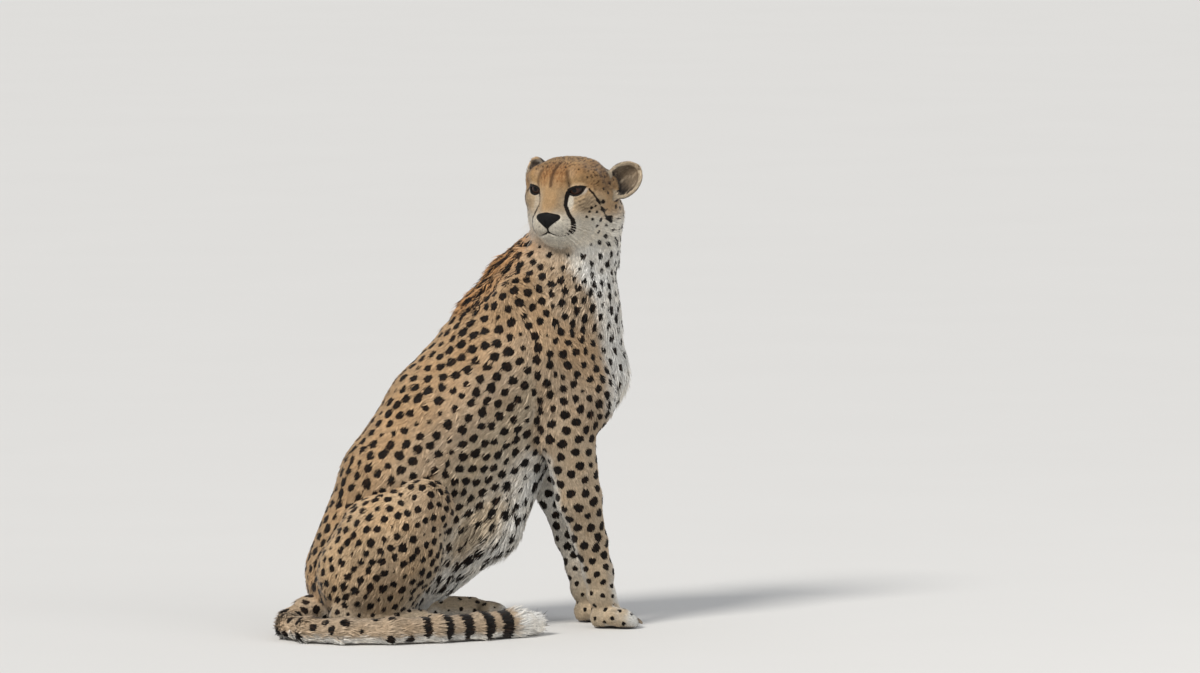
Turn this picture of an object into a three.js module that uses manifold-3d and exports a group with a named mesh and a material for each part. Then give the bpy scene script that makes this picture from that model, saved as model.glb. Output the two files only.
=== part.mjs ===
// A cheetah sitting upright, its head turned back over its right shoulder: a life-size still model.
// Millimetres. The body faces +X, its left side is +Y, +Z is up and the floor is z = 0.
import * as THREE from "three";
import { mergeVertices } from "three/addons/utils/BufferGeometryUtils.js";
import { triTable } from "three/addons/objects/MarchingCubes.js";
import Module from "manifold-3d";

const wasm = await Module();
wasm.setup();

// Driving sizes. Every radius reaches the tips of the coat.
const CUT = 0.4; // gap left between two parts
const FOOT_SPREAD = 60; // forefoot, out from the middle plane
const HIND_SPREAD = 112; // hind foot, out from the middle plane
const FAR_STEP = 155; // the left hind foot stands this much further forward than the right
const SEAM = 12; // softening between the lengths of one chain
const EYE_RADIUS = 18;
const EYE_OUT = 38.5; // eye centre, out from the middle of the head
const EYE_FORWARD = 47;
const EYE_UP = -2.5;
const EYE_OPENING = [24, 17, 9.5]; // half depth, half width and half height between the lids
const EYE_SLANT = 0.24; // radians, outer corner raised
const EAR_THICK = 8; // with its fur
const EAR_DEEP = 30;
const EAR_RADIUS = 37; // of the cup at its rim
const CLAW_RADIUS = 4;
const CLAW_LENGTH = 24; // half of it inside the toe
const CLAW_DIP = 0.5; // radians, point downward
const CLAW_FORWARD = 47; // of the knuckle
const CLAW_UP = 14;
const EARS = {
  left: { lean: 0.74, place: [-34, 94, 6] },
  right: { lean: 0.55, place: [-35, -94, 6] }, // carried a little straighter
};
const CLEAR = 0.7; // how far off the head the ears and the nose begin
const HEAD_TURN = 228; // degrees from +X, turned to the right and back
const HEAD_DIP = 3.6; // degrees, nose down
const HEAD_PLACE = new THREE.Vector3(218, -35, 844);

// ---------------------------------------------------------------- flesh, as chains of round lengths

const SIDEWAYS = new THREE.Vector3(0, 1, 0);
const headFrame = new THREE.Matrix4().makeRotationFromEuler(
  new THREE.Euler(0, THREE.MathUtils.degToRad(HEAD_DIP), THREE.MathUtils.degToRad(HEAD_TURN), "ZYX"),
);
const headSideways = SIDEWAYS.clone().applyMatrix4(headFrame);
headFrame.setPosition(HEAD_PLACE);

/** A chain runs through stations [x, y, z, radius]. wide: width over depth. blend: softness of its joins. */
function chain(blend, wide, stations) {
  return { blend, wide, side: SIDEWAYS, stations };
}

/** The same chain on the left (side 1) or the right (side -1). */
function onSide(side, { blend, wide, side: across, stations }) {
  return { blend, wide, side: across, stations: stations.map(([x, y, z, r]) => [x, y * side, z, r]) };
}

/** A chain given as [forward, left, up, radius] in the head's own frame. */
function onHead({ blend, wide, stations }) {
  const placed = stations.map(([x, y, z, r]) => [...new THREE.Vector3(x, y, z).applyMatrix4(headFrame), r]);
  return { blend, wide, side: headSideways, stations: placed };
}

const trunkChains = [
  chain(40, 0.86, [
    [-165, 0, 110, 124], [-98, 0, 272, 126], [0, 0, 387, 141], [110, 0, 493, 148], [186, 0, 596, 120],
  ]),
  chain(24, 1.12, [[-168, 0, 108, 104], [-146, 0, 150, 108]]),
  chain(50, 0.8, [[238, 0, 480, 92], [116, 0, 356, 84], [46, 0, 214, 91], [-40, 0, 140, 80]]),
  chain(40, 0.9, [[228, 0, 560, 92], [246, 0, 490, 88]]),
];

const neckChains = [
  chain(46, 0.86, [[200, 0, 620, 112], [232, -6, 716, 88], [242, -12, 790, 78]]),
  chain(34, 0.8, [[62, 0, 606, 46], [120, 0, 664, 50], [168, -2, 704, 50]]),
];

const foreleg = [
  chain(30, 0.62, [[118, 66, 612, 62], [176, 76, 520, 78], [216, 78, 440, 76], [198, 80, 392, 60]]),
  chain(16, 0.8, [[172, 82, 420, 52], [160, 84, 376, 22]]),
  chain(18, 0.84, [[196, 82, 388, 54], [224, 74, 250, 43], [247, 67, 168, 33], [265, 63, 106, 28.5]]),
  chain(14, 1.0, [[264, 63, 108, 27], [271, 61, 66, 25.5], [284, FOOT_SPREAD, 36, 25]]),
  chain(10, 1.1, [[274, FOOT_SPREAD, 21, 24], [296, FOOT_SPREAD, 17, 20]]),
];

const foreFoot = { x: 286, y: FOOT_SPREAD, width: 66 };
const hindFoot = (step) => ({ x: -74 + step, y: HIND_SPREAD - 8, width: 62 });

/** A folded hind leg, its foot moved forward by step and its knee by rather less. */
function hindleg(step) {
  const knee = step * 0.8;
  const hip = step * 0.24;
  return [
    chain(26, 0.72, [
      [-184 + hip, 84, 118, 102], [-148 + knee / 2, 98, 172, 102], [-92 + knee, 112, 240, 58],
    ]),
    chain(20, 0.8, [
      [-88 + knee, 116, 238, 52], [-160 + step * 0.9, 124, 146, 54], [-238 + step, 118, 52, 30],
    ]),
    chain(18, 1.0, [
      [-242 + step, 118, 34, 30], [-190 + step, HIND_SPREAD, 27, 29], [-96 + step, HIND_SPREAD - 6, 24, 26],
    ]),
    ...toes(hindFoot(step)),
  ];
}

/** Where a foot's four toes begin: the middle two reach further forward. */
function toeRoots({ x, y, width }) {
  return [-1.5, -0.5, 0.5, 1.5].map((step) => ({
    knuckle: x + 9 - 5 * Math.abs(step),
    out: y + (step * width) / 4,
  }));
}

function toes(foot) {
  return toeRoots(foot).map(({ knuckle, out }) => chain(8, 1.0, [
    [foot.x, out, 25, 17], [knuckle + 20, out * 1.02, 19, 16], [knuckle + 34, out * 1.03, 12, 15],
  ]));
}

const tailChain = chain(16, 1.0, [
  [-236, 0, 62, 42], [-282, -10, 42, 31], [-330, -50, 26, 26], [-350, -115, 24, 25], [-334, -186, 24, 25],
  [-276, -238, 24, 26], [-190, -256, 24, 26], [-100, -248, 25, 26], [-14, -224, 25, 27], [62, -190, 26, 28],
  [98, -170, 24, 24],
]);

const skullChains = [
  chain(20, 1.0, [[-34, 0, -20, 56], [-2, 0, -9, 57], [30, 0, 0, 46]]),
  chain(22, 1.0, [[53.5, 0, -4, 31], [83, 0, -40, 19.5]]),
  chain(20, 1.15, [[48, 0, -48, 42], [76, 0, -60, 28]]),
  chain(16, 1.0, [[70, 0, -77, 24], [70, 0, -82, 22]]),
];

const faceChains = [
  chain(16, 1.0, [[58, 16, 18, 15], [50, 42, 20, 15], [28, 58, 12, 20]]),
  chain(22, 1.0, [[26, 28, 12, 32], [-4, 36, 5, 36], [-30, 48, -6, 35]]),
  chain(22, 1.0, [[52, 50, -25, 18], [20, 55, -26, 28], [-14, 50, -30, 34]]),
  chain(20, 1.0, [[62, 36, -50, 17], [34, 44, -56, 27]]),
  chain(12, 1.0, [[80, 16, -68, 21], [66, 25, -70, 21]]),
  chain(24, 1.0, [[-16, 44, -66, 38], [30, 28, -76, 34], [58, 12, -84, 24]]),
  chain(26, 1.0, [[-50, 34, -60, 42], [-34, 30, -92, 44]]),
];

const bothSides = [1, -1];
const stepOf = (side) => (side > 0 ? FAR_STEP : 0);
const bodyChains = [
  ...trunkChains,
  ...neckChains,
  ...skullChains.map(onHead),
  ...bothSides.flatMap((side) => faceChains.map((each) => onHead(onSide(side, each)))),
  ...bothSides.flatMap((side) => foreleg.map((each) => onSide(side, each))),
  ...bothSides.flatMap((side) => toes(foreFoot).map((each) => onSide(side, each))),
  ...bothSides.flatMap((side) => hindleg(stepOf(side)).map((each) => onSide(side, each))),
];

// ---------------------------------------------------------------- the distance field

function softMin(first, second, softness) {
  const near = Math.max(softness - Math.abs(first - second), 0) / softness;
  return Math.min(first, second) - (near * near * softness) / 4;
}

/** Ready for use: each length's start, run and radii, with the squeeze across the body worked in. */
const prepare = ({ blend, wide, side, stations }) => ({
  blend,
  stretch: 1 / wide - 1,
  side,
  parts: stations.slice(1).map((end, index) => {
    const start = stations[index];
    const run = new THREE.Vector3(end[0] - start[0], end[1] - start[1], end[2] - start[2]);
    run.addScaledVector(side, run.dot(side) * (1 / wide - 1));
    return { start, run, square: run.lengthSq(), radius: start[3], grow: end[3] - start[3] };
  }),
});
const body = bodyChains.map(prepare);
const tail = [prepare(tailChain)];

function chainDistance({ stretch, side, parts }, x, y, z) {
  let nearest = 1e6;
  for (const { start, run, square, radius, grow } of parts) {
    let dx = x - start[0];
    let dy = y - start[1];
    let dz = z - start[2];
    const across = (dx * side.x + dy * side.y + dz * side.z) * stretch;
    dx += across * side.x;
    dy += across * side.y;
    dz += across * side.z;
    const share = THREE.MathUtils.clamp((dx * run.x + dy * run.y + dz * run.z) / square, 0, 1);
    const reach = Math.hypot(dx - share * run.x, dy - share * run.y, dz - share * run.z);
    nearest = softMin(nearest, reach - radius - share * grow, SEAM);
  }
  return nearest;
}

function fleshDistance(flesh, x, y, z) {
  let distance = 1e6;
  for (const each of flesh) {
    distance = softMin(distance, chainDistance(each, x, y, z), each.blend);
  }
  return distance;
}

// ---------------------------------------------------------------- from the field to closed solids

const CORNERS = [[0, 0, 0], [1, 0, 0], [1, 1, 0], [0, 1, 0], [0, 0, 1], [1, 0, 1], [1, 1, 1], [0, 1, 1]];
const EDGES = [
  [0, 1], [1, 2], [3, 2], [0, 3], [4, 5], [5, 6], [7, 6], [4, 7], [0, 4], [1, 5], [2, 6], [3, 7],
];

/** Marching cubes over a box, closed at its walls, then evened out and set back onto the surface. */
function polygonise(box, cell, distanceAt) {
  const size = box.getSize(new THREE.Vector3());
  const count = size.toArray().map((extent) => Math.ceil(extent / cell) + 2);
  const stride = [1, count[0] + 1, (count[0] + 1) * (count[1] + 1)];
  const place = (i, j, k) => [
    box.min.x + (i - 0.5) * cell,
    box.min.y + (j - 0.5) * cell,
    box.min.z + (k - 0.5) * cell,
  ];
  const values = new Float64Array(stride[2] * (count[2] + 1)).fill(cell);
  for (let k = 1; k < count[2]; k += 1) {
    for (let j = 1; j < count[1]; j += 1) {
      for (let i = 1; i < count[0]; i += 1) {
        values[i + j * stride[1] + k * stride[2]] = distanceAt(...place(i, j, k));
      }
    }
  }

  const points = [];
  const walls = [];
  const faces = [];
  const seen = new Map();
  const vertexOn = (i, j, k, [from, to]) => {
    const [a, b] = [from, to].map((corner) => CORNERS[corner].map((step, axis) => [i, j, k][axis] + step));
    const [indexA, indexB] = [a, b].map((at) => at[0] + at[1] * stride[1] + at[2] * stride[2]);
    const name = `${indexA}:${indexB}`;
    if (!seen.has(name)) {
      const share = THREE.MathUtils.clamp(values[indexA] / (values[indexA] - values[indexB]), 0.02, 0.98);
      const start = new THREE.Vector3(...place(...a));
      points.push(start.lerp(new THREE.Vector3(...place(...b)), share));
      walls.push([a, b].some((at) => at.some((step, axis) => step === 0 || step === count[axis])));
      seen.set(name, points.length - 1);
    }
    return seen.get(name);
  };
  for (let k = 0; k < count[2]; k += 1) {
    for (let j = 0; j < count[1]; j += 1) {
      for (let i = 0; i < count[0]; i += 1) {
        const base = i + j * stride[1] + k * stride[2];
        let code = 0;
        CORNERS.forEach((corner, bit) => {
          const inside = values[base + corner[0] + corner[1] * stride[1] + corner[2] * stride[2]] < 0;
          code += inside ? 2 ** bit : 0;
        });
        for (let slot = code * 16; triTable[slot] >= 0; slot += 3) {
          faces.push([0, 1, 2].map((turn) => vertexOn(i, j, k, EDGES[triTable[slot + turn]])));
        }
      }
    }
  }
  relax(points, walls, faces, distanceAt, cell);
  return solidFrom(points, faces);
}

/** Evens the triangles out and sets their corners back onto the surface. */
function relax(points, walls, faces, distanceAt, cell) {
  const around = points.map(() => new Set());
  for (const face of faces) {
    face.forEach((corner, turn) => {
      around[corner].add(face[(turn + 1) % 3]);
      around[corner].add(face[(turn + 2) % 3]);
    });
  }
  const step = cell * 0.02;
  for (let pass = 0; pass < 4; pass += 1) {
    const moved = points.map((point, index) => {
      const mean = new THREE.Vector3();
      around[index].forEach((other) => mean.add(points[other]));
      return point.clone().lerp(mean.divideScalar(around[index].size), 0.5);
    });
    points.forEach((point, index) => {
      if (walls[index]) return;
      point.copy(moved[index]);
      for (let turn = 0; turn < 2; turn += 1) {
        const { x, y, z } = point;
        const here = distanceAt(x, y, z);
        const slope = new THREE.Vector3(
          distanceAt(x + step, y, z) - here,
          distanceAt(x, y + step, z) - here,
          distanceAt(x, y, z + step) - here,
        ).divideScalar(step);
        const pull = THREE.MathUtils.clamp(here / Math.max(slope.lengthSq(), 0.3), -cell / 2, cell / 2);
        point.addScaledVector(slope, -pull);
      }
    });
  }
}

function solidFrom(points, faces) {
  let volume = 0;
  for (const [a, b, c] of faces) {
    volume += points[a].dot(points[b].clone().cross(points[c]));
  }
  const ordered = volume > 0 ? faces : faces.map(([a, b, c]) => [a, c, b]);
  const vertProperties = new Float32Array(points.flatMap((point) => point.toArray()));
  const triVerts = new Uint32Array(ordered.flat());
  return new wasm.Manifold(new wasm.Mesh({ numProp: 3, vertProperties, triVerts }));
}

function solidOf(geometry) {
  geometry.deleteAttribute("normal");
  geometry.deleteAttribute("uv");
  const welded = mergeVertices(geometry, 1e-3);
  const points = [];
  for (let index = 0; index < welded.attributes.position.count; index += 1) {
    points.push(new THREE.Vector3().fromBufferAttribute(welded.attributes.position, index));
  }
  const faces = [];
  for (let index = 0; index < welded.index.count; index += 3) {
    const face = [0, 1, 2].map((turn) => welded.index.getX(index + turn));
    if (new Set(face).size === 3) faces.push(face);
  }
  return solidFrom(points, faces);
}

// ---------------------------------------------------------------- where the body is parted

/** A block to cut with: its middle, its size and its turn, grown all round by margin. */
function block(middle, size, turn = new THREE.Quaternion()) {
  return { middle: new THREE.Vector3(...middle), size: new THREE.Vector3(...size), turn };
}

function blockGeometry({ middle, size, turn }, margin = 0) {
  const geometry = new THREE.BoxGeometry(size.x + 2 * margin, size.y + 2 * margin, size.z + 2 * margin);
  return geometry.applyQuaternion(turn).translate(middle.x, middle.y, middle.z);
}

const tipped = (degrees) =>
  new THREE.Quaternion().setFromAxisAngle(SIDEWAYS, THREE.MathUtils.degToRad(degrees));
const headTurn = new THREE.Quaternion().setFromRotationMatrix(headFrame);

/** A block that begins at a plane (a point and the way it faces) and runs on past it. */
function beyond(point, facing, length, width, height) {
  const turn = new THREE.Quaternion().setFromUnitVectors(new THREE.Vector3(1, 0, 0), facing);
  return block([...point.clone().addScaledVector(facing, length / 2)], [length, width, height], turn);
}

const onHeadPoint = (x, y, z) => new THREE.Vector3(x, y, z).applyMatrix4(headFrame);
const onHeadWay = (x, y, z) => new THREE.Vector3(x, y, z).normalize().transformDirection(headFrame);

const blocks = {
  head: block([...onHeadPoint(38, 0, 16)], [330, 330, 240], headTurn.clone().multiply(tipped(18))),
  hips: block([-300, 0, 60], [160, 300, 160]),
  neck: beyond(new THREE.Vector3(150, 0, 650), new THREE.Vector3(0.2, 0, 0.98).normalize(), 240, 330, 420),
  tail_base: block([-318, -110, 50], [128, 320, 160]),
  tail_middle: block([-174, -240, 30], [158, 120, 80]),
  tail_end: block([-28, -215, 30], [132, 140, 80]),
  tail_tip: block([108, -180, 30], [138, 160, 80]),
};
bothSides.forEach((side) => {
  const name = side > 0 ? "left" : "right";
  const shift = stepOf(side);
  blocks[`forefoot_${name}`] = block([300, side * 74, 45], [160, 144, 90]);
  blocks[`forearm_${name}`] = block([236, side * 95, 222], [180, 150, 300], tipped(-15));
  blocks[`shoulder_${name}`] = block([214, side * 129, 490], [176, 126, 300]);
  blocks[`hindfoot_${name}`] = block([-150 + shift, side * 116, 28], [270, 108, 56]);
  blocks[`shank_${name}`] = block([-142 + shift, side * 134, 62], [270, 104, 150], tipped(-28));
  blocks[`thigh_${name}`] = block([-170 + shift / 2, side * 134, 180], [304 + shift, 104, 262], tipped(-9));
});
const waist = new THREE.Vector3(24, 0, 370);
blocks.loins = beyond(waist, new THREE.Vector3(-0.62, 0, -0.78).normalize(), 700, 400, 700);
blocks.chest = block([120, 0, 420], [560, 400, 840]);

/** Cell sizes, in the order of carving: each part is kept clear of the blocks before it. */
const bodyCells = {
  head: 15.2,
  neck: 29,
  forefoot_left: 17,
  forefoot_right: 17,
  forearm_left: 34,
  forearm_right: 34,
  hindfoot_left: 20,
  hindfoot_right: 20,
  shank_left: 32,
  shank_right: 32,
  thigh_left: 36,
  thigh_right: 36,
  shoulder_left: 36,
  shoulder_right: 36,
  loins: 49,
  chest: 46,
};
const tailCells = { tail_base: 29, tail_middle: 27, tail_end: 27, tail_tip: 25 };

const floorBlock = block([0, 0, -100], [1600, 1600, 200]);
const wholeBody = new THREE.Box3(new THREE.Vector3(-400, -300, -10), new THREE.Vector3(400, 280, 940));

/** The flesh within and a little round a block, or the same flesh grown by a margin. */
function fleshIn(name, flesh, cell, margin = 0) {
  const box = new THREE.Box3().setFromBufferAttribute(blockGeometry(blocks[name]).attributes.position);
  box.expandByScalar(cell * 2).intersect(wholeBody);
  return polygonise(box, cell, (x, y, z) => fleshDistance(flesh, x, y, z) - margin);
}

/** One part: its flesh within its own block, clear of the blocks before it and flat on the floor. */
function carve(name, flesh, cell, before) {
  let solid = fleshIn(name, flesh, cell).intersect(solidOf(blockGeometry(blocks[name])));
  for (const other of before) {
    solid = solid.subtract(solidOf(blockGeometry(blocks[other], CUT)));
  }
  return solid.subtract(solidOf(blockGeometry(floorBlock)));
}

// ---------------------------------------------------------------- claws, ears, nose and eyes

/** A foot with its blunt claws, which a cheetah can't draw in. */
function withClaws(solid, foot, side) {
  let clawed = solid;
  for (const { knuckle, out } of toeRoots(foot)) {
    const claw = new THREE.ConeGeometry(CLAW_RADIUS, CLAW_LENGTH, 4, 1).rotateZ(-Math.PI / 2);
    claw.rotateY(CLAW_DIP).translate(knuckle + CLAW_FORWARD, side * out * 1.03, CLAW_UP);
    clawed = clawed.add(solidOf(claw));
  }
  return clawed;
}

/** An ear is a deep cup, longer than wide, leaning out and open to the front and side. */
function earSolid(side, lean, place) {
  const steps = 5;
  const profile = [];
  for (let step = 0; step <= steps; step += 1) {
    const angle = (step / steps) * (Math.PI / 2);
    profile.push(new THREE.Vector2(EAR_RADIUS * Math.sin(angle), -EAR_DEEP * Math.cos(angle)));
  }
  for (let step = steps; step >= 0; step -= 1) {
    const angle = (step / steps) * (Math.PI / 2);
    const radius = EAR_RADIUS - EAR_THICK;
    profile.push(new THREE.Vector2(radius * Math.sin(angle), 1.5 - (EAR_DEEP - EAR_THICK) * Math.cos(angle)));
  }
  profile[0].x = 0;
  profile[profile.length - 1].x = 0;
  const open = onHeadWay(0.8, side * 0.5, 0.28);
  const along = onHeadWay(-0.1, side * lean, Math.sqrt(1 - lean * lean));
  const across = new THREE.Vector3().crossVectors(open, along).normalize();
  along.crossVectors(across, open);
  const stand = new THREE.Matrix4().makeBasis(across, open, along);
  stand.scale(new THREE.Vector3(0.88, 1, 1.14)).setPosition(onHeadPoint(...place));
  return solidOf(new THREE.LatheGeometry(profile, 12).applyMatrix4(stand));
}

/** The nose pad: a three-cornered patch of a rounded muzzle end, its point down. */
function noseSolid() {
  const outline = new THREE.Shape();
  outline.moveTo(-20, 12);
  outline.quadraticCurveTo(0, 17, 20, 12);
  outline.quadraticCurveTo(31, 6, 21, -3);
  outline.quadraticCurveTo(7, -8, 4, -15);
  outline.quadraticCurveTo(0, -19, -4, -15);
  outline.quadraticCurveTo(-7, -8, -21, -3);
  outline.quadraticCurveTo(-31, 6, -20, 12);
  const prism = new THREE.ExtrudeGeometry(outline, { depth: 50, bevelEnabled: false, curveSegments: 3 });
  const place = new THREE.Matrix4().makeBasis(
    new THREE.Vector3(0, 1, 0), new THREE.Vector3(0, 0, 1), new THREE.Vector3(1, 0, 0),
  );
  prism.applyMatrix4(place.setPosition(70, 0, -55)).applyMatrix4(headFrame);
  const dome = new THREE.SphereGeometry(1, 15, 9).scale(26, 33, 31).translate(83, 0, -56);
  return solidOf(prism).intersect(solidOf(dome.applyMatrix4(headFrame)));
}

const eyeCentres = bothSides.map((side) => onHeadPoint(EYE_FORWARD, side * EYE_OUT, EYE_UP));

function eyeBall(centre, radius) {
  return solidOf(new THREE.SphereGeometry(radius, 12, 7).translate(...centre));
}

/** The almond between the lids, which clears the flesh in front of an eye. */
function eyeOpening(side) {
  const almond = new THREE.SphereGeometry(1, 10, 6).scale(...EYE_OPENING);
  almond.rotateX(side * EYE_SLANT).rotateZ(side * 0.3);
  almond.translate(EYE_FORWARD + 13, side * (EYE_OUT + 3), EYE_UP);
  return solidOf(almond.applyMatrix4(headFrame));
}

// ---------------------------------------------------------------- the whole animal

const looks = {
  nose: { color: 0x1c1a1c, roughness: 0.4 },
  eye: { color: 0x3a2415, roughness: 0.1 },
  ear: { color: 0x8f7a62, roughness: 0.85 },
  tail_tip: { color: 0xe9e4da, roughness: 0.9 },
  fore: { color: 0xd0aa78, roughness: 0.85 },
  flesh: { color: 0xc79a63, roughness: 0.85 },
};

function meshFrom(solid, name) {
  const { vertProperties, triVerts } = solid.getMesh();
  const geometry = new THREE.BufferGeometry();
  geometry.setAttribute("position", new THREE.BufferAttribute(new Float32Array(vertProperties), 3));
  geometry.setIndex(new THREE.BufferAttribute(new Uint32Array(triVerts), 1));
  const kind = Object.keys(looks).find((each) => name.startsWith(each)) ?? "flesh";
  const mesh = new THREE.Mesh(geometry, new THREE.MeshStandardMaterial({ ...looks[kind], metalness: 0 }));
  mesh.name = name;
  return mesh;
}

const cheetah = new THREE.Group();
Object.entries(bodyCells).forEach(([name, cell], index, all) => {
  let solid = carve(name, body, cell, all.slice(0, index).map(([other]) => other));
  if (name === "head") {
    bothSides.forEach((side, turn) => {
      solid = solid.subtract(eyeBall(eyeCentres[turn], EYE_RADIUS + CUT)).subtract(eyeOpening(side));
    });
  }
  if (name.includes("foot")) {
    const side = name.endsWith("left") ? 1 : -1;
    solid = withClaws(solid, name.startsWith("fore") ? foreFoot : hindFoot(stepOf(side)), side);
  }
  cheetah.add(meshFrom(solid, name));
});

const grownHips = fleshIn("hips", body, bodyCells.loins, CLEAR);
Object.entries(tailCells).forEach(([name, cell], index, all) => {
  const solid = carve(name, tail, cell, all.slice(0, index).map(([other]) => other));
  cheetah.add(meshFrom(name === "tail_base" ? solid.subtract(grownHips) : solid, name));
});

const grownHead = fleshIn("head", body, bodyCells.head, CLEAR);
cheetah.add(meshFrom(noseSolid().subtract(grownHead), "nose"));
bothSides.forEach((side, index) => {
  const name = side > 0 ? "left" : "right";
  const { lean, place } = EARS[name];
  cheetah.add(meshFrom(earSolid(side, lean, place).subtract(grownHead), `ear_${name}`));
  cheetah.add(meshFrom(eyeBall(eyeCentres[index], EYE_RADIUS), `eye_${name}`));
});

// The origin is on the floor under the middle of the whole animal.
const middle = new THREE.Box3().setFromObject(cheetah).getCenter(new THREE.Vector3());
cheetah.position.set(-middle.x, -middle.y, 0);

export default cheetah;
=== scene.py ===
"""A life-size cheetah that sits upright with its head turned back: skin, coat, eyes, nose, claws and whiskers.

Metres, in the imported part's frame. Stations of the body's chains are in millimetres, before the shift that
puts the origin under the middle of the animal. The head has a frame of its own: forward, left, up.
"""
import math

import bpy
import numpy as np
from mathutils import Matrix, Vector
from mathutils.kdtree import KDTree


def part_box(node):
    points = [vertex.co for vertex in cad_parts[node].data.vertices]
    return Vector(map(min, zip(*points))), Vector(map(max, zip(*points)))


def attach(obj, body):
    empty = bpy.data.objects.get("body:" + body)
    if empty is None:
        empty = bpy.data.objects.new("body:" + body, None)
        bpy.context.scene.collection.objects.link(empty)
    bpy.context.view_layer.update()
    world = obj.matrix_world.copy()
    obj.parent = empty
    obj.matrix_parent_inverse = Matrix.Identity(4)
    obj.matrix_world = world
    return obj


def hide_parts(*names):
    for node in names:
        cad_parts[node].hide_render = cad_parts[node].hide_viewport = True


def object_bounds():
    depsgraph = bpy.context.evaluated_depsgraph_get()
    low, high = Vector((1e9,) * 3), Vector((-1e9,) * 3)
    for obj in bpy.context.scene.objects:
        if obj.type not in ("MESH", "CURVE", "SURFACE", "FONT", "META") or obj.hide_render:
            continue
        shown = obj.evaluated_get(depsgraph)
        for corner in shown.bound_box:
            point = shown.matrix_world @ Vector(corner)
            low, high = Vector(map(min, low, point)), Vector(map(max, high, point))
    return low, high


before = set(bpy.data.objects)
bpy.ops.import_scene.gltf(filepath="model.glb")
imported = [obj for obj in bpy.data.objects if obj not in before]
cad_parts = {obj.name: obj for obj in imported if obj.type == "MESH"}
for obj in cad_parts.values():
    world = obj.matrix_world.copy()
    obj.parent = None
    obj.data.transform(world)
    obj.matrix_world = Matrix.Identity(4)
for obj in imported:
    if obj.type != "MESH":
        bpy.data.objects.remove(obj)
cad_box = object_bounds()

MM = 0.001
RANDOM = np.random.default_rng(11)
SIDES = (1, -1)  # the animal's left, then its right
BODY_CELL = 5.2 * MM
HEAD_CELL = 2.15 * MM
NOSE_CELL = 0.85 * MM
SEAM = 12 * MM  # over which one length of a chain melts into the next
FADE = 9 * MM  # over which one chain's share of the surface gives way to another's
REACH = 78 * MM  # beyond which a chain counts for nothing
CLEAR_OF_FLOOR = 1.6 * MM

TOE_STEPS = (-1.5, -0.5, 0.5, 1.5)  # the four toes, in quarters of the foot's width
FOREFOOT = (286, 60, 66)  # the x and y of the toes' roots, and the foot's width
HINDFOOT = (-74, 104, 62)
HIND_STEP = {1: 155, -1: 0}  # how far ahead a hind foot is set

EYE_RADIUS = 18 * MM
EYE_CENTRE = np.array([47, 38.5, -2.5]) * MM  # in the head's frame, on the left
EYE_SLANT = 0.24  # radians
EYE_FACING = 0.3  # radians, outward from straight ahead
HEAD_TURN = math.radians(228)
HEAD_DIP = math.radians(3.6)
HEAD_PLACE = np.array([218, -35, 844]) * MM
HEAD_LOW = np.array([-106, -142, -118]) * MM
HEAD_HIGH = np.array([122, 142, 78]) * MM
NOSE_LOW, NOSE_HIGH = np.array([[70, -30, -78], [112, 30, -34]]) * MM

AHEAD = np.array([math.cos(HEAD_TURN), math.sin(HEAD_TURN), 0])
FORWARD = AHEAD * math.cos(HEAD_DIP) - [0, 0, math.sin(HEAD_DIP)]
LEFTWARD = np.array([-math.sin(HEAD_TURN), math.cos(HEAD_TURN), 0])
UPWARD = AHEAD * math.sin(HEAD_DIP) + [0, 0, math.cos(HEAD_DIP)]
HEAD_AXES = np.stack([FORWARD, LEFTWARD, UPWARD])

eye_low, eye_high = (np.array(corner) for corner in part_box("eye_left"))
SHIFT = (eye_low + eye_high) / 2 - (HEAD_PLACE + EYE_CENTRE @ HEAD_AXES)


def to_head(points):
    return (points - SHIFT - HEAD_PLACE) @ HEAD_AXES.T


def from_head(points):
    return points @ HEAD_AXES + HEAD_PLACE + SHIFT


def smooth(low, high, value):
    share = np.clip((value - low) / (high - low), 0, 1)
    return share * share * (3 - 2 * share)


def unit(vectors):
    return vectors / np.maximum(np.linalg.norm(vectors, axis=-1, keepdims=True), 1e-9)


def dot(first, second):
    return np.einsum("ij,ij->i", first, second)


def within(points, low, high):
    """The rows of the points inside a box."""
    return np.nonzero(((points > low) & (points < high)).all(1))[0]


def pairs(line):
    return zip(line[:-1], line[1:])


def nearest_on(start, end, points):
    """Where along a straight length each point's nearest place is, as a share of it, and how far away."""
    run = end - start
    share = np.clip((points - start) @ run / (run @ run), 0, 1)
    return share, np.linalg.norm(points - start - np.outer(share, run), axis=1)


def soft_min(first, second, softness):
    near = np.maximum(softness - np.abs(first - second), 0) / softness
    return np.minimum(first, second) - near * near * softness / 4


# ---------------------------------------------------------------- flesh, as chains of round lengths


def chain(region, blend, wide, stations, lie=1, depth=6.5):
    """stations: x, y, z, radius. lie: the coat's way along the chain, or a direction. depth: of the coat."""
    stations = np.array(stations, dtype=float) * MM
    stations[:, :3] += SHIFT
    return dict(region=region, blend=blend * MM, wide=wide, side=np.array([0.0, 1.0, 0.0]),
                stations=stations, lie=lie, depth=depth * MM)


def on_side(side, piece):
    stations = piece["stations"].copy()
    stations[:, 1] = (stations[:, 1] - SHIFT[1]) * side + SHIFT[1]
    return {**piece, "stations": stations}


def on_head(side, blend, wide, stations, depth=3.0):
    stations = np.array(stations, dtype=float) * MM
    stations[:, 1] *= side
    placed = np.column_stack([from_head(stations[:, :3]), stations[:, 3]])
    return dict(region="head", blend=blend * MM, wide=wide, side=LEFTWARD, stations=placed, lie=0,
                depth=depth * MM)


def toes(x, y, width):
    made = []
    for step in TOE_STEPS:
        knuckle = x + 9 - 5 * abs(step)
        out = y + step * width / 4
        made.append(chain("foot", 8, 1.0, [
            [x, out, 25, 17], [knuckle + 20, out * 1.02, 19, 16], [knuckle + 34, out * 1.03, 12, 15],
        ], depth=2.5))
    return made


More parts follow.
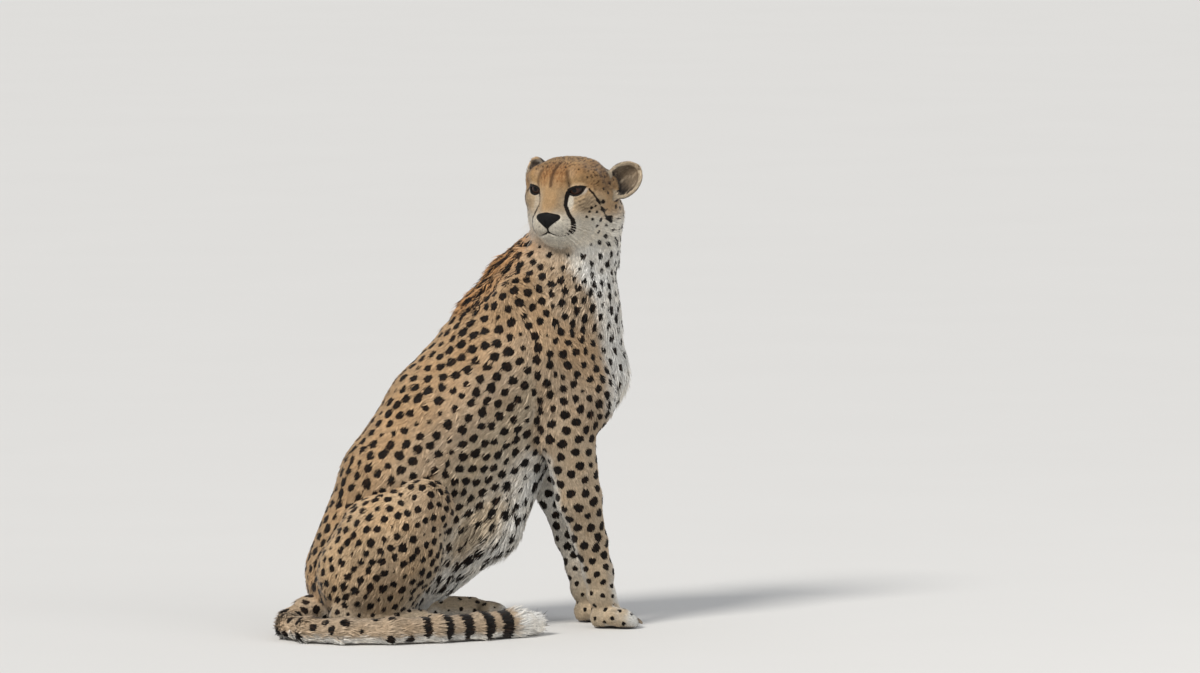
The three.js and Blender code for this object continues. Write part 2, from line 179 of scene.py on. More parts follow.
def feet(side):
    """The x and y of the toes' roots and the width, for the forefoot and the hind foot of a side."""
    x, y, width = HINDFOOT
    return FOREFOOT, (x + HIND_STEP[side], y, width)


def hindleg(side):
    step = HIND_STEP[side]
    knee = step * 0.8
    hip = step * 0.24
    return [
        chain("thigh", 26, 0.72, [
            [-184 + hip, 84, 118, 102], [-148 + knee / 2, 98, 172, 102], [-92 + knee, 112, 240, 58],
        ], lie=(-0.42, 0, -0.9)),
        chain("shank", 20, 0.8, [
            [-88 + knee, 116, 238, 52], [-160 + step * 0.9, 124, 146, 54], [-238 + step, 118, 52, 30],
        ], depth=5.5),
        chain("foot", 18, 1.0, [
            [-242 + step, 118, 34, 30], [-190 + step, 112, 27, 29], [-96 + step, 106, 24, 26],
        ], depth=3.5),
        *toes(*feet(side)[1]),
    ]


TRUNK = [
    chain("trunk", 40, 0.86, [
        [-165, 0, 110, 124], [-98, 0, 272, 126], [0, 0, 387, 141], [110, 0, 493, 148], [186, 0, 596, 120],
    ], lie=-1),
    chain("trunk", 24, 1.12, [[-168, 0, 108, 104], [-146, 0, 150, 108]], lie=-1),
    chain("belly", 50, 0.8, [[238, 0, 480, 92], [116, 0, 356, 84], [46, 0, 214, 91], [-40, 0, 140, 80]], depth=11),
    chain("chest", 40, 0.9, [[228, 0, 560, 92], [246, 0, 490, 88]], depth=11),
]
NECK = [
    chain("neck", 46, 0.86, [[200, 0, 620, 112], [232, -6, 716, 88], [242, -12, 790, 78]], lie=-1, depth=9),
    chain("mane", 34, 0.8, [[62, 0, 606, 46], [120, 0, 664, 50], [168, -2, 704, 50]], lie=-1, depth=13),
]
FORELEG = [
    chain("shoulder", 30, 0.62, [[118, 66, 612, 62], [176, 76, 520, 78], [216, 78, 440, 76], [198, 80, 392, 60]]),
    chain("shoulder", 16, 0.8, [[172, 82, 420, 52], [160, 84, 376, 22]], lie=(-0.3, 0, -0.95)),
    chain("foreleg", 18, 0.84, [
        [196, 82, 388, 54], [224, 74, 250, 43], [247, 67, 168, 33], [265, 63, 106, 28.5],
    ], depth=4.5),
    chain("foot", 14, 1.0, [[264, 63, 108, 27], [271, 61, 66, 25.5], [284, 60, 36, 25]], depth=3),
    chain("foot", 10, 1.1, [[274, 60, 21, 24], [296, 60, 17, 20]], depth=3),
]
TAIL = chain("tail", 16, 1.0, [
    [-236, 0, 62, 42], [-282, -10, 42, 31], [-330, -50, 26, 26], [-350, -115, 24, 25], [-334, -186, 24, 25],
    [-276, -238, 24, 26], [-190, -256, 24, 26], [-100, -248, 25, 26], [-14, -224, 25, 27], [62, -190, 26, 28],
    [98, -170, 24, 24],
], depth=6)
SKULL = [
    on_head(1, 20, 1.0, [[-34, 0, -20, 56], [-2, 0, -9, 57], [30, 0, 0, 46]], depth=4),
    on_head(1, 22, 1.0, [[53.5, 0, -4, 31], [83, 0, -40, 19.5]], depth=2.5),
    on_head(1, 20, 1.15, [[48, 0, -48, 42], [76, 0, -60, 28]], depth=2.5),
    on_head(1, 16, 1.0, [[70, 0, -77, 24], [70, 0, -82, 22]], depth=3.5),
]


def face(side):
    return [
        on_head(side, 16, 1.0, [[58, 16, 18, 15], [50, 42, 20, 15], [28, 58, 12, 20]], depth=3),
        on_head(side, 22, 1.0, [[26, 28, 12, 32], [-4, 36, 5, 36], [-30, 48, -6, 35]], depth=4),
        on_head(side, 22, 1.0, [[52, 50, -25, 18], [20, 55, -26, 28], [-14, 50, -30, 34]], depth=3),
        on_head(side, 20, 1.0, [[62, 36, -50, 17], [34, 44, -56, 27]], depth=3.5),
        on_head(side, 12, 1.0, [[80, 16, -68, 21], [66, 25, -70, 21]], depth=2.5),
        on_head(side, 24, 1.0, [[-16, 44, -66, 38], [30, 28, -76, 34], [58, 12, -84, 24]], depth=5),
        on_head(side, 26, 1.0, [[-50, 34, -60, 42], [-34, 30, -92, 44]], depth=7),
    ]


FLESH = [*TRUNK, *NECK, *SKULL]
FLESH += [piece for side in SIDES for piece in face(side)]
FLESH += [on_side(side, piece) for side in SIDES for piece in FORELEG]
FLESH += [on_side(side, piece) for side in SIDES for piece in toes(*FOREFOOT)]
FLESH += [on_side(side, piece) for side in SIDES for piece in hindleg(side)]
FLESH.append({**TAIL, "blend": 10 * MM})


def chain_distance(piece, points):
    """Distance from a chain's surface."""
    side = piece["side"]
    stretch = 1 / piece["wide"] - 1
    nearest = None
    for start, end in pairs(piece["stations"]):
        run = end[:3] - start[:3]
        run = run + side * (run @ side) * stretch
        offset = points - start[:3]
        offset += np.outer(offset @ side * stretch, side)
        share = np.clip(offset @ run / (run @ run), 0, 1)
        offset -= np.outer(share, run)
        reach = np.sqrt(dot(offset, offset)) - start[3] - share * (end[3] - start[3])
        nearest = reach if nearest is None else soft_min(nearest, reach, SEAM)
    return nearest


def near_pieces(points):
    """Each chain that some of the points are near, with the rows of those points and their distances from it."""
    for piece in FLESH:
        radius = piece["stations"][:, 3].max() + REACH
        low = piece["stations"][:, :3].min(0) - radius
        high = piece["stations"][:, :3].max(0) + radius
        near = within(points, low, high)
        if len(near):
            yield piece, near, chain_distance(piece, points[near])


def flesh_distance(points):
    """Distance from the tips of the coat, and the coat's depth there."""
    distance = np.full(len(points), 0.2)
    weight = np.full(len(points), 1e-9)
    depth = weight * 6 * MM
    for piece, near, own in near_pieces(points):
        distance[near] = soft_min(distance[near], own, piece["blend"])
        share = np.exp(-own / FADE)
        weight[near] += share
        depth[near] += share * piece["depth"]
    return distance, depth / weight


# ---------------------------------------------------------------- the face: lids, lips and ears

EAR_PLACES = {1: np.array([-34, 94, 6]) * MM, -1: np.array([-35, -94, 6]) * MM}
EAR_LEAN = {1: 0.74, -1: 0.55}
EAR_STRETCH = np.array([0.88, 1.0, 1.14])
CUP = (31, 24.5, 1.5)


def ear_axes(side):
    lean = EAR_LEAN[side]
    opening = unit(np.array([0.8, side * 0.5, 0.28]))
    along = unit(np.array([-0.1, side * lean, math.sqrt(1 - lean * lean)]))
    across = unit(np.cross(opening, along))
    return np.stack([across, opening, np.cross(across, opening)])


def ear_local(head_points, side):
    """Across, out of the cup's mouth and along the ear, with the cup's oval made round."""
    return (head_points - EAR_PLACES[side]) @ ear_axes(side).T / EAR_STRETCH


def bowl(local, wide, deep, back=0.0):
    """A round bowl about the ear's axis, below zero inside it. Its radius, its depth and how far back it is, mm."""
    around = np.hypot(local[:, 0], local[:, 2])
    return np.sqrt((around / wide) ** 2 + ((local[:, 1] - back * MM) / deep) ** 2) / MM - 1


def ear_distance(head_points, side):
    local = ear_local(head_points, side)
    outer = bowl(local, 35, 28.5) * 29 * MM
    inner = bowl(local, *CUP) * 25 * MM
    rim = local[:, 1] + 0.5 * MM
    shell = -soft_min(-outer, inner, 2 * MM)
    return -soft_min(-shell, -rim, 2 * MM)


def along_line(points, line, first_width=0.0, last_width=0.0):
    """Distance from a line through a few points, less its half width, which may change along it. Widths in mm."""
    widths = np.linspace(first_width, last_width, len(line)) * MM
    nearest = np.full(len(points), 1.0)
    for (start, end), (first, last) in zip(pairs(line), pairs(widths)):
        share, reach = nearest_on(start, end, points)
        nearest = np.minimum(nearest, reach - first - share * (last - first))
    return nearest


LIPS = np.array([[99, 0, -79], [94, 8.4, -84], [86, 21.6, -87], [79, 31, -87], [72, 40, -83]]) * MM
PHILTRUM = np.array([[106, 0, -70], [101, 0, -80]]) * MM
SHOULDER_CREASE = [[117, 103, 614], [124, 114, 562], [129, 123, 487], [138, 111, 428], [144, 98, 376]]
THIGH_CREASE = [[-224, 44, 248], [-186, 81, 268], [-144, 101, 280], [-76, 109, 300]]
BODY_CREASE = (5 * MM, 11 * MM)  # how deep and how wide
TOE_CREASE = (6 * MM, 4.2 * MM)


def placed_line(line, side, step=0):
    return (np.array(line, dtype=float) + [step, 0, 0]) * [1, side, 1] * MM + SHIFT


def toe_grooves(x, y, width, side):
    """The clefts between a foot's four toes."""
    made = []
    for step in (-1, 0, 1):
        out = y + step * width / 4
        front = x + 55 - 4 * abs(step)
        line = [[x + 2, out, 46], [x + 26, out * 1.015, 40], [front - 8, out * 1.03, 24], [front, out * 1.03, 5]]
        made.append((placed_line(line, side), *TOE_CREASE))
    return made


CREASES = [(placed_line(SHOULDER_CREASE, side), *BODY_CREASE) for side in SIDES]
CREASES += [(placed_line(THIGH_CREASE, side, HIND_STEP[side] * 0.4), *BODY_CREASE) for side in SIDES]
CREASES += [groove for side in SIDES for foot in feet(side) for groove in toe_grooves(*foot, side)]


def mirrored(head_points):
    """Both sides of the head brought to its left."""
    return np.column_stack([head_points[:, 0], np.abs(head_points[:, 1]), head_points[:, 2]])


def from_eye(folded):
    return np.linalg.norm(folded - EYE_CENTRE, axis=1) - EYE_RADIUS


def eye_plane(folded):
    """Across and up in the plane that the lids open in, and how far out of the head from the eye's middle."""
    forward, out, up = (folded - EYE_CENTRE).T
    aside = out * math.cos(EYE_FACING) - forward * math.sin(EYE_FACING)
    ahead = forward * math.cos(EYE_FACING) + out * math.sin(EYE_FACING)
    across = aside * math.cos(EYE_SLANT) + up * math.sin(EYE_SLANT)
    height = up * math.cos(EYE_SLANT) - aside * math.sin(EYE_SLANT)
    return across, height, ahead


def lid_edge(folded):
    """Signed distance in the eye's plane from the edge of the lids: below zero between them."""
    across, height, _ = eye_plane(folded)
    upper = np.hypot(across + 1 * MM, height + 25.5 * MM) - 29.0 * MM
    lower = np.hypot(across, height - 9.2 * MM) - 18.2 * MM
    return np.maximum(upper, lower)


def skin_distance(points):
    """The skin: the flesh without its coat, with the lids, lips and ears worked in."""
    distance, depth = flesh_distance(points)
    for line, sunk, width in CREASES:
        near = within(points, line.min(0) - 3 * width, line.max(0) + 3 * width)
        distance[near] += sunk * np.exp(-(along_line(points[near], line) / width) ** 2)
    distance = -soft_min(-distance - depth, points[:, 2] - CLEAR_OF_FLOOR, 2 * MM)
    head_points = to_head(points)
    near = within(head_points, HEAD_LOW - 0.02, HEAD_HIGH + 0.02)
    if len(near) == 0:
        return distance
    here = head_points[near]
    own = distance[near]
    for side in SIDES:
        own = soft_min(own, ear_distance(here, side), 9 * MM)
    folded = mirrored(here)
    own = soft_min(own, from_eye(folded) - 2.6 * MM, 6 * MM)
    opening = np.maximum(lid_edge(folded), -eye_plane(folded)[2])
    own = -soft_min(-own, opening, 2.2 * MM)
    lips = along_line(folded, LIPS)
    split = along_line(folded, PHILTRUM)
    own += 4.2 * MM * np.exp(-(lips / (2.4 * MM)) ** 2) + 3.0 * MM * np.exp(-(split / (2.2 * MM)) ** 2)
    distance[near] = own
    return distance


# ---------------------------------------------------------------- from the field to a mesh


def gradient(field, points, step):
    slopes = [field(points + offset) - field(points - offset) for offset in np.eye(3) * step]
    return np.stack(slopes, axis=1) / (2 * step)


def set_onto(field, points, step, rounds, limit=np.inf):
    """Points moved onto the zero surface of field, none of them by more than limit in a round."""
    for _ in range(rounds):
        slope = gradient(field, points, step)
        pull = field(points)[:, None] * slope / np.maximum((slope ** 2).sum(1, keepdims=True), 0.3)
        points = points - np.clip(pull, -limit, limit)
    return points


def spread(blocks, step):
    """Lattice points that touch a marked block."""
    wide = blocks
    for axis in range(3):
        wide = np.repeat(wide, step, axis=axis)
        padding = [(0, 0)] * 3
        padding[axis] = (0, 1)
        first = np.pad(wide, padding)
        padding[axis] = (1, 0)
        wide = first | np.pad(wide, padding)
    return wide


def surface_net(low, high, cell, field):
    """Quads of the zero surface of field on a lattice, set back onto that surface."""
    step = 4
    blocks = np.ceil((high - low) / (cell * step)).astype(int)
    middles = low + (np.indices(blocks).reshape(3, -1).T + 0.5) * cell * step
    rough = field(middles).reshape(blocks)
    wanted = spread(np.abs(rough) < 1.7 * 0.87 * step * cell, step)
    inside = np.pad(np.repeat(np.repeat(np.repeat(rough < 0, step, 0), step, 1), step, 2), (0, 1), mode="edge")
    values = np.where(inside, -1.0, 1.0)
    chosen = np.argwhere(wanted)
    values[wanted] = field(low + chosen * cell)
    inside = values < 0

    corners = np.array([[i, j, k] for i in (0, 1) for j in (0, 1) for k in (0, 1)])
    size = np.array(values.shape) - 1
    total = sum(inside[i:i + size[0], j:j + size[1], k:k + size[2]].astype(np.int8) for i, j, k in corners)
    active = np.argwhere((total > 0) & (total < 8))
    at_corner = np.stack([values[tuple((active + corner).T)] for corner in corners], axis=1)
    middle = np.zeros((len(active), 3))
    crossings = np.zeros(len(active))
    for first in range(8):
        for second in range(first + 1, 8):
            if np.abs(corners[first] - corners[second]).sum() != 1:
                continue
            start, end = at_corner[:, first], at_corner[:, second]
            crossed = (start < 0) != (end < 0)
            share = np.where(crossed, start / np.where(crossed, start - end, 1), 0)
            place = corners[first] + share[:, None] * (corners[second] - corners[first])
            middle += place * crossed[:, None]
            crossings += crossed
    points = low + (active + middle / crossings[:, None]) * cell

    number = np.full(size, -1)
    number[tuple(active.T)] = np.arange(len(active))
    quads = []
    for axis in range(3):
        others = [other for other in range(3) if other != axis]
        upper = np.roll(inside, -1, axis)
        crossed = inside != upper
        edge = [slice(1, -1)] * 3
        edge[axis] = slice(0, -1)
        found = np.argwhere(crossed[tuple(edge)])
        found[:, others] += 1
        around = []
        for back_a, back_b in ((0, 0), (1, 0), (1, 1), (0, 1)):
            cell_index = found.copy()
            cell_index[:, others[0]] -= back_a
            cell_index[:, others[1]] -= back_b
            around.append(number[tuple(cell_index.T)])
        quad = np.stack(around, axis=1)
        flip = inside[tuple(found.T)] == (axis == 1)
        quad[flip] = quad[flip][:, ::-1]
        quads.append(quad)
    quads = np.concatenate(quads)
    quads = quads[(quads >= 0).all(1)]
    return set_onto(field, points, cell * 0.1, 2, cell / 2), quads


def compact(points, quads):
    """The points that the quads use, the quads on those points, and which they were."""
    used, quads = np.unique(quads, return_inverse=True)
    return points[used], quads.reshape(-1, 4), used


def skin_normals(points):
    return unit(gradient(skin_distance, points, 0.5 * MM))


def make_skin():
    """The body on a coarser lattice lapped under the head on a finer one. Returns points, quads and normals."""
    low, high = np.array(cad_box) + np.array([[-6], [6]]) * MM
    points, quads = surface_net(low, high, BODY_CELL, skin_distance)
    head_points = to_head(points)
    inward = np.minimum(head_points - HEAD_LOW, HEAD_HIGH - head_points).min(1)
    quads = quads[inward[quads].min(1) < 8 * MM]
    normals = skin_normals(points)
    points = points - normals * np.clip(inward / 6, 0, 1.3 * MM)[:, None]
    points, quads, used = compact(points, quads)

    fine, fine_quads = surface_net(HEAD_LOW, HEAD_HIGH, HEAD_CELL, lambda here: skin_distance(from_head(here)))
    fine, fine_quads, _ = compact(fine, fine_quads)
    fine = from_head(fine)
    quads = np.concatenate([quads, fine_quads + len(points)])
    return np.concatenate([points, fine]), quads, np.concatenate([normals[used], skin_normals(fine)])


# ---------------------------------------------------------------- what grows where

# For each region: spacing and size of its spots; tufts to the square millimetre, the length and width of one, and
# how far their tips draw together; locks to the square millimetre and the length of one. Millimetres.
COAT = dict(
    trunk=(24.5, 10.2, 0.2, 15, 2.9, 0.28, 0.006, 24),
    belly=(27, 10.8, 0.17, 19, 2.8, 0.4, 0.03, 34),
    chest=(30, 8, 0.18, 18, 2.7, 0.4, 0.035, 30),
    neck=(19, 7.1, 0.24, 15, 2.5, 0.35, 0.03, 24),
    mane=(13, 5.4, 0.2, 20, 2.8, 0.5, 0.09, 36),
    shoulder=(22, 8.8, 0.21, 14, 2.7, 0.25, 0.006, 20),
    foreleg=(25.5, 10, 0.29, 10.5, 2.2, 0.15, 0.006, 16),
    foot=(20, 4.6, 0.46, 6.5, 1.7, 0.1, 0, 8),
    thigh=(21, 8.6, 0.2, 14, 2.8, 0.28, 0.008, 22),
    shank=(20, 7.6, 0.24, 11, 2.3, 0.2, 0.01, 18),
    tail=(27, 9.4, 0.23, 14, 2.6, 0.35, 0.02, 24),
    head=(8.4, 2.7, 0.74, 7.5, 1.6, 0.14, 0, 12),
)
REGIONS = tuple(COAT)
SPACING, SPOT_SIZE, DENSITY, LENGTH, WIDTH, CLUMPING, LOCK_DENSITY, LOCK_LENGTH = (
    np.array(values, dtype=float) for values in zip(*COAT.values()))
MANE_COLUMN, NECK_COLUMN, TAIL_COLUMN = (REGIONS.index(region) for region in ("mane", "neck", "tail"))
VENTRAL = unit(np.array([0.81, 0, -0.58]))  # the way the underside faces


def chain_lie(piece, points):
    if isinstance(piece["lie"], tuple):
        return np.broadcast_to(unit(np.array(piece["lie"], dtype=float)), points.shape)
    way = np.zeros(points.shape)
    for start, end in pairs(piece["stations"]):
        _, reach = nearest_on(start[:3], end[:3], points)
        way += np.exp(-(reach - start[3]) / (14 * MM))[:, None] * unit(end[:3] - start[:3])
    return unit(way) * piece["lie"]


def ear_shares(head_points):
    """How far each point belongs to an ear, to the inside of its cup and to its rim, and where along it is."""
    ear, inside, rim, along = np.zeros((4, len(head_points)))
    for side in SIDES:
        local = ear_local(head_points, side)
        here = smooth(9 * MM, 3 * MM, ear_distance(head_points, side))
        inside = np.maximum(inside, here * smooth(0.07, 0.02, bowl(local, *CUP)))
        rim = np.maximum(rim, here * smooth(-3.5 * MM, -0.8 * MM, local[:, 1]))
        along = np.where(here > ear, local[:, 2], along)
        ear = np.maximum(ear, here)
    return ear, inside, rim, along


def head_lie(head_points):
    """Away from the nose over the face and back over the crown, and along the ears to their tips."""
    lie = unit(head_points - np.array([98, 0, -44]) * MM) + np.array([-0.35, 0, 0])
    for side in SIDES:
        share = smooth(10 * MM, 2 * MM, ear_distance(head_points, side))[:, None]
        lie = lie * (1 - share) + ear_axes(side)[2] * share
    return lie @ HEAD_AXES


def survey(points, normals):
    """Each point's shares of the regions, the way its coat lies along the skin, and the coat's depth."""
    shares = np.full((len(points), len(REGIONS)), 1e-9)
    lie = np.tile([0, 0, -1e-3], (len(points), 1))
    for piece, near, own in near_pieces(points):
        share = np.exp(-own / FADE)
        shares[near, REGIONS.index(piece["region"])] += share
        if piece["lie"] != 0:
            lie[near] += share[:, None] * chain_lie(piece, points[near])
    head_points = to_head(points)
    ear, inside, _, _ = ear_shares(head_points)
    shares[:, -1] += 50 * ear
    total = shares.sum(1, keepdims=True)
    lie = lie / total + shares[:, -1:] / total * head_lie(head_points)
    lie -= normals * dot(lie, normals)[:, None]
    _, depth = flesh_distance(points)
    folded = mirrored(head_points)
    face = smooth(-10 * MM, 40 * MM, folded[:, 0]) * shares[:, -1] / total[:, 0]
    depth = depth * (1 - 0.3 * face) * (0.25 + 0.75 * smooth(2 * MM, 14 * MM, from_eye(folded)))
    depth = depth * (1 - ear) + ear * np.where(inside > 0.5, 3.2, 1.8) * MM
    return shares / total, unit(lie), depth


# ---------------------------------------------------------------- the ground colour of the coat


def colour(red, green, blue):
    """A linear colour from one written as screen values."""
    value = np.array([red, green, blue]) / 255
    return np.where(value > 0.04045, ((value + 0.055) / 1.055) ** 2.4, value / 12.92)


OCHRE = colour(187, 156, 120)
TAN = colour(188, 167, 142)
RUFOUS = colour(186, 136, 86)
BUFF = colour(200, 183, 158)
SANDY = colour(200, 172, 137)
LIMB = TAN + (BUFF - TAN) * 0.5
WHITE = colour(240, 238, 232)
CREAM = colour(224, 217, 202)
PAD = colour(58, 50, 46)
STREAK = colour(74, 46, 28)
FACE = colour(192, 158, 114)
CROWN = colour(190, 152, 106)
TEMPLE = colour(158, 122, 82)
FOREHEAD = colour(160, 112, 68)
BRIDGE = colour(186, 153, 112)
CHEEK_SHADE = colour(120, 102, 78)
# Painted shade laid on the cheek.
EAR_BACK = colour(62, 51, 46)
EAR_CUP = colour(120, 105, 87)
# Painted shade deep in the ear cups.
EAR_DEEP_SHADE = colour(26, 20, 18)
# Painted shade over the right ear's cup.
FAR_EAR_SHADE = colour(70, 60, 58)


def mixed(first, second, share):
    return first + (second - first) * np.asarray(share)[:, None]


def layered(tone, *layers):
    """A colour with others laid over it in turn, each given with its share at every point."""
    for layer, share in layers:
        tone = mixed(tone, layer, share)
    return tone


def body_tone(points, normals, shares):
    """Ochre on the back, tan on the sides and outer legs, white beneath, in front and inside the legs."""
    x, y, z = ((points - SHIFT) / MM).T
    facing = normals[:, 0]
    out = normals[:, 1] * np.sign(y)
    ventral = normals @ VENTRAL
    edge = np.interp(z, [408, 483, 559, 634, 680, 740, 800], [268, 270, 264, 246, 212, 184, 150])
    before = smooth(edge - 16, edge + 16, x)
    front = before * smooth(390, 430, z)
    nape = smooth(-0.05, 0.75, -facing)
    tail_white = np.maximum(smooth(-0.1, -0.7, normals[:, 2]), smooth(-52, -38, tail_left(points) / MM))
    tones = dict(
        trunk=layered(OCHRE, (TAN, smooth(-0.75, -0.1, ventral)),
                      (BUFF, smooth(-0.1, 0.3, ventral) * smooth(640, 420, z)),
                      (WHITE, smooth(0.4, 0.8, ventral)), (WHITE, front)),
        belly=layered(TAN, (BUFF, smooth(-0.2, 0.1, ventral)),
                      (WHITE, smooth(0.1, 0.55, ventral) * smooth(470, 400, z)), (WHITE, front)),
        chest=layered(TAN, (WHITE, front)),
        neck=layered(WHITE, (TAN, smooth(0.0, 0.55, nape)), (RUFOUS, smooth(0.6, 1.0, nape)),
                     (TAN, (1 - before) * smooth(760, 700, z))),
        mane=layered(RUFOUS, (TAN, smooth(0.3, 0.9, np.abs(out)) * 0.6)),
        shoulder=layered(mixed(TAN, OCHRE, smooth(440, 560, z) * 0.9) * 1.08,
                         (WHITE, np.maximum(front, smooth(-0.1, -0.5, out)))),
        foreleg=layered(mixed(LIMB, BUFF, smooth(0.15, -0.35, out)) * 1.08,
                        (WHITE, smooth(0.0, -0.7, out + 0.9 * facing) * 0.9)),
        foot=layered(BUFF, (WHITE, smooth(0.2, 0.9, facing + 0.6 * smooth(45, 18, z))),
                     (PAD, smooth(9, 4, z) * smooth(-0.3, -0.8, normals[:, 2]))),
        thigh=layered(SANDY, (WHITE, smooth(-0.15, -0.5, out) * smooth(-0.2, 0.3, facing)),
                      (BUFF, smooth(0.35, 0.85, ventral))),
        shank=layered(TAN, (WHITE, smooth(0.15, -0.35, out))),
        tail=layered(TAN, (WHITE, tail_white)),
    )
    return sum(tones[region] * shares[:, [index]] for index, region in enumerate(REGIONS[:-1]))


TAIL_LENGTH = np.linalg.norm(np.diff(TAIL["stations"][:, :3], axis=0), axis=1).sum()


def tail_left(points):
    """Minus the length of tail that is left beyond each point."""
    passed = 0
    nearest = np.full(len(points), 1.0)
    place = np.zeros(len(points))
    for start, end in pairs(TAIL["stations"][:, :3]):
        share, reach = nearest_on(start, end, points)
        closer = reach < nearest
        place[closer] = passed + share[closer] * np.linalg.norm(end - start)
        nearest = np.minimum(nearest, reach)
        passed += np.linalg.norm(end - start)
    return place - TAIL_LENGTH


def ripple(points, wavelength, seed, stretch=(1, 1, 1)):
    """A smooth wandering value, about -1 to 1."""
    generator = np.random.default_rng(seed)
    ways = unit(generator.normal(size=(6, 3))) * 2 * math.pi / wavelength
    ways *= generator.uniform(0.7, 1.4, (6, 1))
    phases = generator.uniform(0, 2 * math.pi, 6)
    return np.sin(points * stretch @ ways.T + phases).sum(1) / 2.6


def head_tone(head_points):
    """Warm on the brow and crown, a dusky patch of painted shade on the cheek, cream on the muzzle and chin, dark
    behind the ears; painted shade deep in the ear cups and over the right ear.
    """
    folded = mirrored(head_points)
    forward, out, up = (folded / MM).T
    far = head_points[:, 1] < 0

    def patch(centre, size):
        offset = (folded - np.array(centre) * MM) / (np.array(size) * MM)
        return smooth(1.25, 0.5, np.linalg.norm(offset, axis=1))

    def line(places, width, core):
        return smooth(width * MM, core * MM, along_line(folded, places))

    temple = patch((6, 66, 22), (56, 34, 44))
    brow = patch((62, 13, 26), (28, 18, 30))
    crown = np.maximum(patch((20, 22, 50), (70, 60, 34)), temple)
    # Painted shade: wrinkle-like lines of dusky shade on the cheek, much stronger on the head's shaded left side than
    # on its sunlit right.
    cheek_shade = 0.38 + 0.3 * ripple(head_points, 9 * MM, 12, (1, 1, 2.2))
    cheek_shade = np.clip(cheek_shade, 0.05, 0.75) * np.where(far, 0.5, 1.15)
    streaked = ripple(head_points, 7 * MM, 5, (1, 1, 0.4)) + 0.7 * ripple(head_points, 3.6 * MM, 6, (1, 1, 0.5))
    flecked = ripple(head_points, 6 * MM, 7) + 0.6 * ripple(head_points, 11 * MM, 8)
    _, height, _ = eye_plane(folded)
    edge = lid_edge(folded)
    close = smooth(26 * MM, 18 * MM, np.linalg.norm(folded - EYE_CENTRE, axis=1))
    under = smooth(1.5 * MM, 3 * MM, edge) * smooth(9 * MM, 6 * MM, edge) * smooth(0, -4 * MM, height)
    over = smooth(3 * MM, 5 * MM, edge) * smooth(13 * MM, 8 * MM, edge) * smooth(2 * MM, 6 * MM, height)
    tone = layered(
        FACE, (CROWN, smooth(10, 44, up) * 0.8), (TEMPLE, temple * 0.75),
        (BUFF, smooth(0, -40, up - 0.2 * forward) * smooth(10, 34, forward) * 0.6),
        (CREAM, smooth(-34, -66, up + 0.12 * (60 - forward))),
        (CHEEK_SHADE, patch((54, 56, -26), (26, 24, 20)) * cheek_shade), (BRIDGE, patch((84, 0, -18), (34, 19, 40))),
        (FOREHEAD, brow * (0.62 + 0.3 * np.clip(streaked, -1, 1))),
        (STREAK, brow * smooth(0.5, 1.5, streaked) * 0.6), (STREAK, crown * smooth(0.25, 0.95, flecked) * 0.85),
        (BUFF, patch((52, 34, 24), (16, 14, 13)) * 0.55), (FOREHEAD, patch((46, 40, 28), (24, 16, 14)) * 0.3),
        (CREAM, smooth(62, 80, forward) * smooth(-52, -64, up) * smooth(5, 11, out)),
        (CREAM, patch((70, 34, -28), (14, 8, 22)) * np.where(far, 0.4, 0.85)),
        (STREAK, line(BROW_LINE, 6.0, 1.0) * 0.8), (STREAK, line(SIDE_LINE[5:], 6.6, 1.2) * 0.6),
        *((STREAK, smooth(2.0 * MM, 0.5 * MM, np.linalg.norm(folded - place, axis=1)) * 0.45)
          for place in WHISKER_ROOTS),
        (WHITE, under * close), (BUFF, over * close * 0.7))
    ear, inside, rim, along = ear_shares(head_points)
    back = mixed(EAR_BACK, CROWN, smooth(22 * MM, 33 * MM, along))
    # Painted shade: the cup darkens towards the ear's base, the right ear's whole cup is greyed and its pale rim is
    # dimmed.
    cup = layered(EAR_CUP, (EAR_DEEP_SHADE, smooth(12 * MM, -12 * MM, along)), (FAR_EAR_SHADE, np.where(far, 0.7, 0.0)),
                  (BUFF, smooth(0.2, 1.3, ripple(head_points, 9 * MM, 9, (1, 1, 0.5))) * 0.45))
    pinna = layered(back, (cup, inside), (BUFF, rim * np.where(far, 0.35, 0.9)))
    return mixed(tone, pinna, smooth(0.25, 0.85, ear))


def ground_tone(points, normals, shares):
    head = shares[:, -1:]
    tone = body_tone(points, normals, shares)
    near = np.nonzero(head[:, 0] > 0.01)[0]
    tone[near] += head[near] * head_tone(to_head(points[near]))
    return tone


# ---------------------------------------------------------------- spots, rings and face marks

RINGS = ((-68, 13), (-112, 12), (-156, 11), (-198, 9), (-238, 8))  # before the tail's tip, and half width, mm
SPOTTED_TAIL = -258 * MM  # spots before this place, rings and white beyond it

TEAR_LINE = [[64, 23.6, -4.5], [66.9, 25.8, -9.6], [70.5, 26.2, -16.7], [73.8, 26, -25.9], [75.9, 26.6, -33.3],
             [72.7, 32, -44.8], [73.8, 38.9, -57.5], [75.7, 42, -72.4], [76.5, 39, -84]]
CHEEK_ROW = [[43.3, 59.3, -1.8], [40.6, 67.5, -13], [35.3, 75.4, -27.5], [18.5, 74.2, -46.7], [2.4, 74.5, -60],
             [-8.6, 77.4, -71.6]]
BROW_STREAK = [[37.9, 0, 46], [57.5, 0, 37], [72.4, 0, 21.8], [79.8, 0, 5.5]]
SIDE_STREAK = [[48, 24, 40], [56.5, 25, 32.9], [65.1, 27.5, 24.5], [66.5, 29.9, 13.4], [64, 31, 5]]
CHEEK_SPOTS = [[39.8, 70.7, -33.5], [45.5, 64.7, -36.5], [34.6, 67.2, -45.2], [46.3, 58.3, -45.3],
               [21, 66.4, -61.1], [39.8, 59.2, -59], [50.5, 53.2, -53.7], [30.4, 62.3, -71.2]]
CHEEK_SPOT_SIZES = (2.8, 3.4, 3.4, 2.9, 4.2, 3.2, 2.9, 3.8)
WHISKER_GRID = [(row, column) for row in range(4) for column in range(4)]
